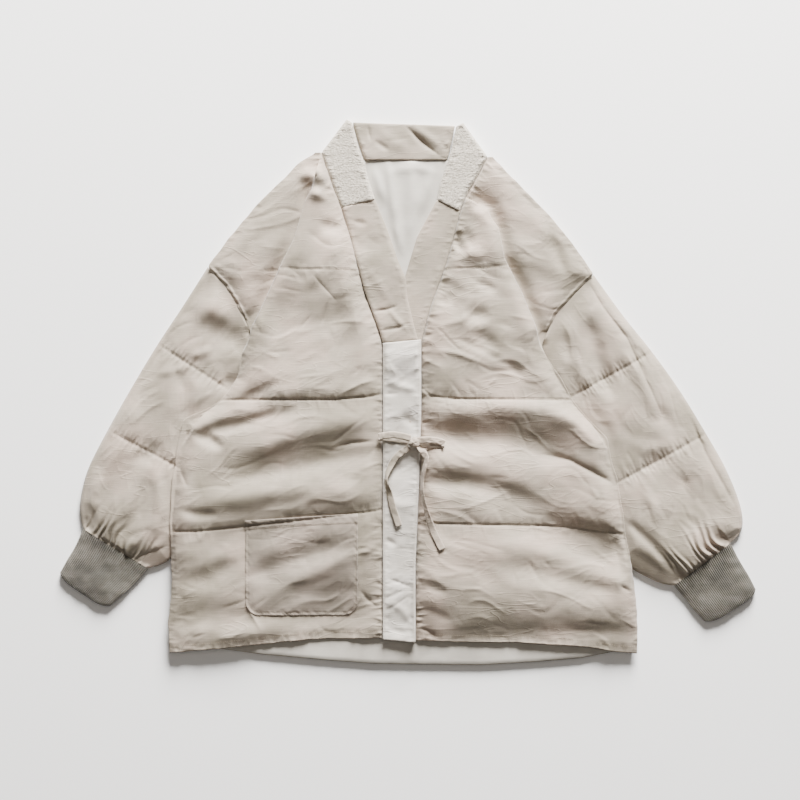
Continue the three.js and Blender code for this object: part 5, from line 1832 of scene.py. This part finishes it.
STRAPS = {
    "tie_right_loop": (
        StrapRow(4, -64, 8, 100), StrapRow(-8, -61, 9.5, 102), StrapRow(-20, -59, 9, 95),
        StrapRow(-31, -60, 7.5, 88), StrapRow(-38, -61, 5.5, 85), StrapRow(-40.5, -62, 3.2, 85),
        StrapRow(-37, -63, 1.2, 86), StrapRow(-28, -64, 0.5, 88), StrapRow(-14, -66, 0.5, 95),
        StrapRow(2, -68, 1.2, 98),
    ),
    "tie_left_loop": (
        StrapRow(14, -67, 7, 86), StrapRow(26, -66, 7.5, 86), StrapRow(37, -67, 6, 84),
        StrapRow(46, -69, 4.6, 82), StrapRow(50, -71, 3.2, 80), StrapRow(49, -72, 1.4, 80),
        StrapRow(43, -73, 0.6, 82), StrapRow(32, -73, 0.5, 86), StrapRow(16, -72, 1.2, 90),
    ),
    "tie_right_tail": (
        StrapRow(2, -76, 2.5, 20, 15), StrapRow(-4, -81, 0.6, 26, 30),
        StrapRow(-14, -88, 0.4, 30, 25), StrapRow(-22, -99, 0.4, 20, 10),
        StrapRow(-29, -114, 0.5, 5, 50), StrapRow(-30, -126, 0.4, 0, 64),
        StrapRow(-26, -140, 0.4, 4, 30), StrapRow(-20, -164, 0.6, 16, 6),
        StrapRow(-12, -187, 0.8, 22, -8),
    ),
    "tie_left_tail": (
        StrapRow(15, -76, 3.0, -40, 10), StrapRow(22, -84, 0.8, -26, 35),
        StrapRow(26, -93, 0.4, -8, 50), StrapRow(23, -106, 0.4, 8, 58),
        StrapRow(20, -125, 0.5, 0, 62), StrapRow(21, -142, 0.4, 6, 66),
        StrapRow(24, -158, 0.5, 8, 56), StrapRow(29, -176, 0.4, 18, 30),
        StrapRow(37, -197, 0.5, 24, 8), StrapRow(48, -219, 0.8, 26, -6),
    ),
}


class Surface:
    """The upper faces of built pieces, to lay things on."""

    RAY_START: ClassVar[float] = 0.2

    def __init__(self, pieces: Sequence[bpy.types.Object]) -> None:
        """Collects the faces of the pieces.

        Args:
            pieces: the pieces to lay things on.
        """
        points, faces, start = [], [], 0
        for piece in pieces:
            mesh = piece.data
            co = np.empty(len(mesh.vertices) * 3)
            mesh.vertices.foreach_get("co", co)
            points.append(co.reshape(-1, 3))
            faces += [tuple(start + i for i in p.vertices) for p in mesh.polygons]
            start += len(mesh.vertices)
        self.tree = BVHTree.FromPolygons(np.vstack(points).tolist(), faces)

    def height(self, x: float, y: float) -> float:
        """Height in mm of the highest face at a plan point in mm, or 0 over bare floor."""
        hit, _, _, _ = self.tree.ray_cast(Vector((x * MM, y * MM, self.RAY_START)), Vector((0, 0, -1)))
        return hit.z / MM if hit else 0.0

    def clear(self, x: float, y: float, reach: float) -> float:
        """Height that clears the surface within a small reach of a point."""
        steps = (-reach, -reach / 2, 0.0, reach / 2, reach)
        return max(self.height(x + dx, y + dy) for dx in steps for dy in steps)


@dataclass
class TieBow:
    """Two self-fabric straps tied in a bow: two loops, a knot and two free tails.

    Attributes:
        surface: what the bow lies on.
        thickness: how thick a folded strap is.
        steps: how many sections lie between two rows of its table.
        across: how many points lie across it.
        knot_at: the knot's middle in plan.
    """

    # How far round a strap or the knot has to clear what it lies on.
    STRAP_CLEARANCE: ClassVar[float] = 4.5
    KNOT_CLEARANCE: ClassVar[float] = 4
    # The knot's half sizes in x, y and z.
    KNOT_SIZE: ClassVar[tuple[float, float, float]] = (8.0, 7.4, 5.0)
    KNOT_POINTS: ClassVar[tuple[int, int]] = (48, 30)

    surface: Surface
    thickness: float = 1.3
    steps: int = 9
    across: int = 9
    knot_at: tuple[float, float] = KNOT_AT

    def strap(self, name: str, rows: Sequence[StrapRow]) -> bpy.types.Object:
        """Builds one strap with turned edges and a little twist and crumple.

        Args:
            name: the solid that the strap stands for.
            rows: its sections.

        Returns:
            The piece.
        """
        table = np.array([tuple(row) for row in rows])
        count = (len(rows) - 1) * self.steps + 1
        columns = [spline([(value, 0) for value in column], count)[:, 0] for column in table.T]
        smooth_rows = np.column_stack(columns)
        base = np.array([self.surface.clear(x, y, self.STRAP_CLEARANCE) for x, y in smooth_rows[:, :2]])
        kernel = np.ones(5) / 5
        base = np.maximum(base, np.convolve(np.pad(base, 2, mode="edge"), kernel, mode="valid"))
        roll = np.radians(smooth_rows[:, 4])
        on_edge = TIE_WIDTH / 2 * np.abs(np.sin(roll)) * 0.9
        lift = np.maximum(smooth_rows[:, 2], 0.3) + self.thickness / 2 + on_edge
        centre = np.column_stack([smooth_rows[:, :2], base + lift])
        angle = np.radians(smooth_rows[:, 3])
        side = np.column_stack([np.cos(angle), np.sin(angle), np.zeros(count)])
        along = np.gradient(centre, axis=0)
        along /= np.linalg.norm(along, axis=1, keepdims=True)
        side -= along * (side * along).sum(1, keepdims=True)
        side /= np.linalg.norm(side, axis=1, keepdims=True)
        normal = np.cross(along, side)
        c, s = np.cos(roll)[:, None], np.sin(roll)[:, None]
        side, normal = side * c + normal * s, normal * c - side * s
        crumple = Crumple(len(name) * 7 + 3)
        length = lengths_along(centre)
        half = np.linspace(-1, 1, self.across)
        upper, lower = [], []
        for w in half:
            ripple = 0.5 * crumple.noise(length / 7, length * 0 + w, 1)
            ripple = ripple + 0.25 * crumple.noise(length / 3, length * 0 + w * 2, 2)
            edge = centre + side * (w * TIE_WIDTH / 2 * 0.97)
            half_thick = self.thickness / 2 * math.sqrt(max(0.0, 1 - w**4))
            upper.append(edge + normal * (half_thick + ripple)[:, None])
            lower.append(edge + normal * (ripple - half_thick)[:, None])
        ring = np.stack(upper + lower[1:-1][::-1], 1)
        around = ring.shape[1]
        points = ring.reshape(-1, 3)
        faces = grid_faces(count, around, True).tolist()
        faces += [list(range(around))[::-1], list(range((count - 1) * around, count * around))]
        piece = make_mesh(f"{name}_cloth", points, faces, Cloth.SHELL)
        face_out(piece)
        dress(piece, Slot.SHELL, name)
        return piece

    def knot(self) -> bpy.types.Object:
        """Builds the knot: a strap wound once round, seen as a crumpled bulge with folds across it.

        Returns:
            The piece.
        """
        x0, y0 = self.knot_at
        base = self.surface.clear(x0, y0, self.KNOT_CLEARANCE) + 0.4
        around, rows = self.KNOT_POINTS
        u = np.linspace(0, 2 * math.pi, around + 1)[:-1]
        v = np.linspace(0.02, math.pi - 0.02, rows)
        uu, vv = np.meshgrid(u, v)
        folds = 1 + 0.07 * np.cos(3 * uu + 1.2 * vv) + 0.09 * Crumple(5).noise(uu * 1.6, vv * 3, 1)
        half_x, half_y, half_z = self.KNOT_SIZE
        x = x0 + half_x * folds * np.sin(vv) ** 0.8 * np.cos(uu)
        y = y0 + half_y * folds * np.sin(vv) ** 0.8 * np.sin(uu)
        z = base + half_z - half_z * folds * np.cos(vv)
        points = np.dstack([x, y, z])
        faces = grid_faces(rows, around, True).tolist()
        faces += [list(range(around)), list(range((rows - 1) * around, rows * around))[::-1]]
        piece = make_mesh("tie_knot_cloth", points.reshape(-1, 3), faces, Cloth.SHELL)
        face_out(piece)
        dress(piece, Slot.SHELL, "tie_knot")
        return piece

    def build(self) -> list[bpy.types.Object]:
        """Builds the whole bow.

        Returns:
            Its five pieces.
        """
        return [self.strap(name, rows) for name, rows in STRAPS.items()] + [self.knot()]


# ---- Sewing ----
@dataclass
class Stitching:
    """Rows of thread stitches, as real little bars sunk into the cloth.

    Attributes:
        surface: the cloth.
        pitch: how far apart stitches start.
        length: how long one is.
        thick: how thick its thread is.
    """

    # A stitch's three sections: place in it, size, and how far it sinks in half threads.
    SECTIONS: ClassVar[tuple[tuple[float, float, float], ...]] = (
        (0, 0.45, -1.2), (0.5, 1.0, 0.0), (1, 0.45, -1.2),
    )
    # No stitch where the cloth is lower than this or steps by more than that within its length.
    LOWEST: ClassVar[float] = 5
    STEEPEST: ClassVar[float] = 2.5
    # How far in from the pocket's edge and above the fronts' hem the rows run.
    POCKET_INSET: ClassVar[float] = 3
    HEM_DEPTH: ClassVar[float] = 9

    surface: Surface
    pitch: float = 3.2
    length: float = 2.3
    thick: float = 0.55

    def pocket_row(self) -> Line:
        """The row round the pocket's sides and round lower corners.

        Returns:
            Its points.
        """
        inset = self.POCKET_INSET
        r = POCKET_RADIUS - inset
        corner = [(r * math.cos(a), r * math.sin(a)) for a in np.linspace(math.pi, 1.5 * math.pi, 7)]
        low = POCKET_BOTTOM + POCKET_RADIUS
        left = [(POCKET_LEFT + POCKET_RADIUS + dx, low + dy) for dx, dy in corner]
        right = [(POCKET_RIGHT - POCKET_RADIUS - dx, low + dy) for dx, dy in corner[::-1]]
        return [(POCKET_LEFT + inset, -182), *left, *right, (POCKET_RIGHT - inset, -172)]

    def rows(self) -> dict[str, Sequence[tuple[Line, float]]]:
        """Lists the sewn rows.

        Returns:
            Each piece's rows: a line and how far it lies above the cloth.
        """
        pocket_hem = ((POCKET_LEFT + 2, -191), (POCKET_RIGHT - 2, -181))
        band_edges = (((-32, 66), (-32, -340)), ((16, 66), (12.6, -130), (8, -240), (8, -342)))
        right_hem = [(x, y + self.HEM_DEPTH) for x, y in RIGHT_HEM[:-1]] + [(-40, -335)]
        left_hem = [(16, -338)] + [(x, y + self.HEM_DEPTH) for x, y in LEFT_HEM[1:]]
        return {
            "pocket_stitches": [(self.pocket_row(), 0.1), (pocket_hem, 0.1)],
            "quilt_stitches": [(line, 0.15) for line in (*RIGHT_QUILT, *LEFT_QUILT)],
            "placket_stitches": [(line, 0.1) for line in band_edges],
            "hem_stitches": [(right_hem, 0.1), (left_hem, 0.1)],
        }

    def bar(self, ends: Sequence[Array], first: int) -> tuple[list, list]:
        """Makes one stitch.

        Args:
            ends: its start, middle and end on the cloth.
            first: the index of its first point.

        Returns:
            Its points and faces.
        """
        along = ends[2] - ends[0]
        flat = max(np.linalg.norm(along[:2]), 1e-6)
        side = np.array([-along[1], along[0], 0]) / flat * self.thick / 2
        up = np.array([0, 0, self.thick / 2])
        points, faces = [], []
        for place, (_, size, sink) in zip(ends, self.SECTIONS):
            for s, u in ((-1, 0), (0, 1), (1, 0), (0, -1)):
                points.append(place + side * s * size + up * u * size + up * sink)
        for k in (0, 4):
            for j in range(4):
                a, b = first + k + j, first + k + (j + 1) % 4
                faces.append([a, b, b + 4, a + 4])
        faces += [[first + k for k in (3, 2, 1, 0)], [first + k for k in (8, 9, 10, 11)]]
        return points, faces

    def bars(self, line: Line, lift: float) -> tuple[list, list]:
        """Makes one row of stitches.

        Args:
            line: the row's points in plan.
            lift: how far the stitches lie above the cloth.

        Returns:
            Their points and faces.
        """
        p = np.array(line, float)
        lengths = lengths_along(p)
        points, faces = [], []
        for start in np.arange(1.0, lengths[-1] - self.length, self.pitch):
            ends = []
            for share, _, _ in self.SECTIONS:
                at = start + self.length * share
                x, y = np.interp(at, lengths, p[:, 0]), np.interp(at, lengths, p[:, 1])
                ends.append(np.array([x, y, self.surface.height(x, y) + lift]))
            if ends[0][2] < self.LOWEST or abs(ends[0][2] - ends[2][2]) > self.STEEPEST:
                continue
            bar_points, bar_faces = self.bar(ends, len(points))
            points += bar_points
            faces += bar_faces
        return points, faces

    def build(self) -> list[bpy.types.Object]:
        """Builds each kind of stitching as one joined piece.

        Returns:
            The pieces.
        """
        pieces = []
        for name, rows in self.rows().items():
            points, faces = [], []
            for line, lift in rows:
                row_points, row_faces = self.bars(line, lift)
                faces += [[len(points) + i for i in face] for face in row_faces]
                points += row_points
            piece = make_mesh(name, np.array(points), faces, Cloth.THREAD)
            pieces.append(dress(piece, Slot.SHELL))
        return pieces


# ---- Stage ----
@dataclass
class Studio:
    """A pale floor, soft light from beyond the collar and a camera straight above.

    Attributes:
        centre: the plan point under the camera, in metres.
        view_width: how wide a strip it shows at the garment's middle height.
        camera_height: how high it hangs.
    """

    FLOOR_HALF: ClassVar[float] = 4.0
    SENSOR_MM: ClassVar[float] = 36
    MIDDLE_HEIGHT: ClassVar[float] = 0.015
    WORLD_COLOUR: ClassVar[tuple[float, ...]] = (1.0, 0.95, 0.89, 1)
    WORLD_STRENGTH: ClassVar[float] = 0.17

    centre: tuple[float, float] = (-0.0109, -0.0105)
    view_width: float = 1.12
    camera_height: float = 3.0

    def floor(self) -> None:
        """Builds the floor: uncoated white paper, matt with a barely visible grain."""
        mesh = bpy.data.meshes.new("floor")
        corners = ((-1, -1), (1, -1), (1, 1), (-1, 1))
        mesh.from_pydata([(x * self.FLOOR_HALF, y * self.FLOOR_HALF, 0) for x, y in corners], [],
                         [(0, 1, 2, 3)])
        material = bpy.data.materials.new("pale_paper")
        material.use_nodes = True
        tree = material.node_tree
        shader = tree.nodes["Principled BSDF"]
        grain = add_node(tree, "ShaderNodeTexNoise", None, {"Scale": 600.0, "Detail": 2.0},
                         {"Vector": add_node(tree, "ShaderNodeTexCoord").outputs["Object"]})
        bump = add_node(tree, "ShaderNodeBump", None, {"Strength": 0.03, "Distance": 0.0002},
                        {"Height": grain.outputs["Fac"]})
        tree.links.new(bump.outputs["Normal"], shader.inputs["Normal"])
        shader.inputs["Base Color"].default_value = linear("#f8f8f8")
        shader.inputs["Roughness"].default_value = 0.9
        mesh.materials.append(material)
        plane = bpy.data.objects.new("floor", mesh)
        bpy.context.scene.collection.objects.link(plane)

    def light(self, name: str, place: tuple[float, float, float], size: float, power: float,
              colour: str) -> None:
        """Adds one soft area light that looks at the garment.

        Args:
            name: the light's name.
            place: where it hangs, in metres.
            size: how wide it is, in metres.
            power: its power in watts.
            colour: its hex colour.
        """
        data = bpy.data.lights.new(name, "AREA")
        data.shape, data.size, data.energy = "DISK", size, power
        data.color = linear(colour)[:3]
        lamp = bpy.data.objects.new(name, data)
        lamp.location = place
        lamp.rotation_euler = (Vector((0, 0, 0)) - Vector(place)).to_track_quat("-Z", "Y").to_euler()
        bpy.context.scene.collection.objects.link(lamp)

    def build(self) -> None:
        """Builds the stage, the lights and the camera."""
        self.floor()
        self.light("window", (0.7, 3.9, 1.66), size=2.1, power=1500, colour="#fffdfa")
        self.light("sky", (-0.4, 0.5, 3.4), size=2.6, power=14, colour="#fff4e8")
        world = bpy.data.worlds.new("studio")
        world.use_nodes = True
        background = world.node_tree.nodes["Background"]
        background.inputs["Color"].default_value = self.WORLD_COLOUR
        background.inputs["Strength"].default_value = self.WORLD_STRENGTH
        bpy.context.scene.world = world
        data = bpy.data.cameras.new("overhead")
        data.sensor_width = self.SENSOR_MM
        data.lens = self.SENSOR_MM * (self.camera_height - self.MIDDLE_HEIGHT) / self.view_width
        camera = bpy.data.objects.new("overhead", data)
        camera.location = (*self.centre, self.camera_height)
        bpy.context.scene.collection.objects.link(camera)
        bpy.context.scene.camera = camera


def main() -> None:
    """Builds the jacket, piece by piece, and its studio."""
    logging.basicConfig(level=logging.INFO, format="%(message)s")
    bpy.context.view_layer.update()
    Studio().build()
    right_sleeve = Sleeve("right", RIGHT_ARMHOLE, RIGHT_SLEEVE, RIGHT_CUFF, quilt_rows=(1, 3),
                          creases=RIGHT_SLEEVE_CREASES, seed=11)
    left_sleeve = Sleeve("left", LEFT_ARMHOLE, LEFT_SLEEVE, LEFT_CUFF, quilt_rows=(1, 3),
                         creases=LEFT_SLEEVE_CREASES, seed=12, slant=-62.0)
    right = FrontPanel("right", RIGHT_SIDE, RIGHT_BAND_SEAM, RIGHT_HEM, -365, RIGHT_QUILT, RIGHT_FOLD,
                       fold_side=1, creases=RIGHT_CREASES, sleeve=right_sleeve, sleeve_side=-1, seed=21)
    left = FrontPanel("left", LEFT_SIDE, LEFT_BAND_SEAM, LEFT_HEM, -366, LEFT_QUILT, LEFT_FOLD,
                      fold_side=-1, creases=LEFT_CREASES, sleeve=left_sleeve, sleeve_side=1, seed=27,
                      slant=-14.0, hem_reach=78.0)
    Back().build()
    for sleeve in (right_sleeve, left_sleeve):
        sleeve.build()
    tops = [right.build(), left.build()]
    terry = {"finish": Cloth.TERRY, "slot": Slot.TERRY, "thickness": 4.4, "spacing": 0.9, "pile": 0.9,
             "crumple_strength": 0.3, "foot": terry_foot, "crown": 1.5}
    bands = [
        Band("left_band_cloth", "left_band", LEFT_BAND, lining_level, Cloth.SHELL, Slot.SHELL, seed=31,
             seam=LEFT_BAND_SEAM, crown=0.5, crumple_strength=0.25),
        Band("right_band_cloth", "right_band", RIGHT_BAND, wrap_level, Cloth.SHELL, Slot.SHELL, seed=32,
             seam=RIGHT_BAND_SEAM, crown=1.1, creases=BAND_CREASES, crumple_strength=0.7),
        Band("right_band_terry_cloth", "right_band_terry", RIGHT_TERRY, lining_level, seed=33,
             seam=RIGHT_BAND_SEAM, **terry),
        Band("left_band_terry_cloth", "left_band_terry", LEFT_TERRY, lining_level, seed=34,
             seam=LEFT_BAND_SEAM, **terry),
        Band("placket_cloth", "placket", PLACKET, over_band_level, Cloth.PLACKET, Slot.PLACKET, seed=35,
             creases=PLACKET_CREASES, crown=0.8, crumple_strength=1.1),
        Band("back_neck_band_cloth", "back_neck_band", NECK_BAND, neck_level, Cloth.SHELL, Slot.SHELL,
             seed=36, thickness=NECK_BAND_HEIGHT, crown=1.5, foot=floor_level, creases=NECK_CREASES),
    ]
    tops += [band.build() for band in bands]
    tops.append(Pocket(right).build())
    surface = Surface(tops)
    Stitching(surface).build()
    TieBow(surface).build()
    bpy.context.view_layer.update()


if __name__ == "__main__":
    main()
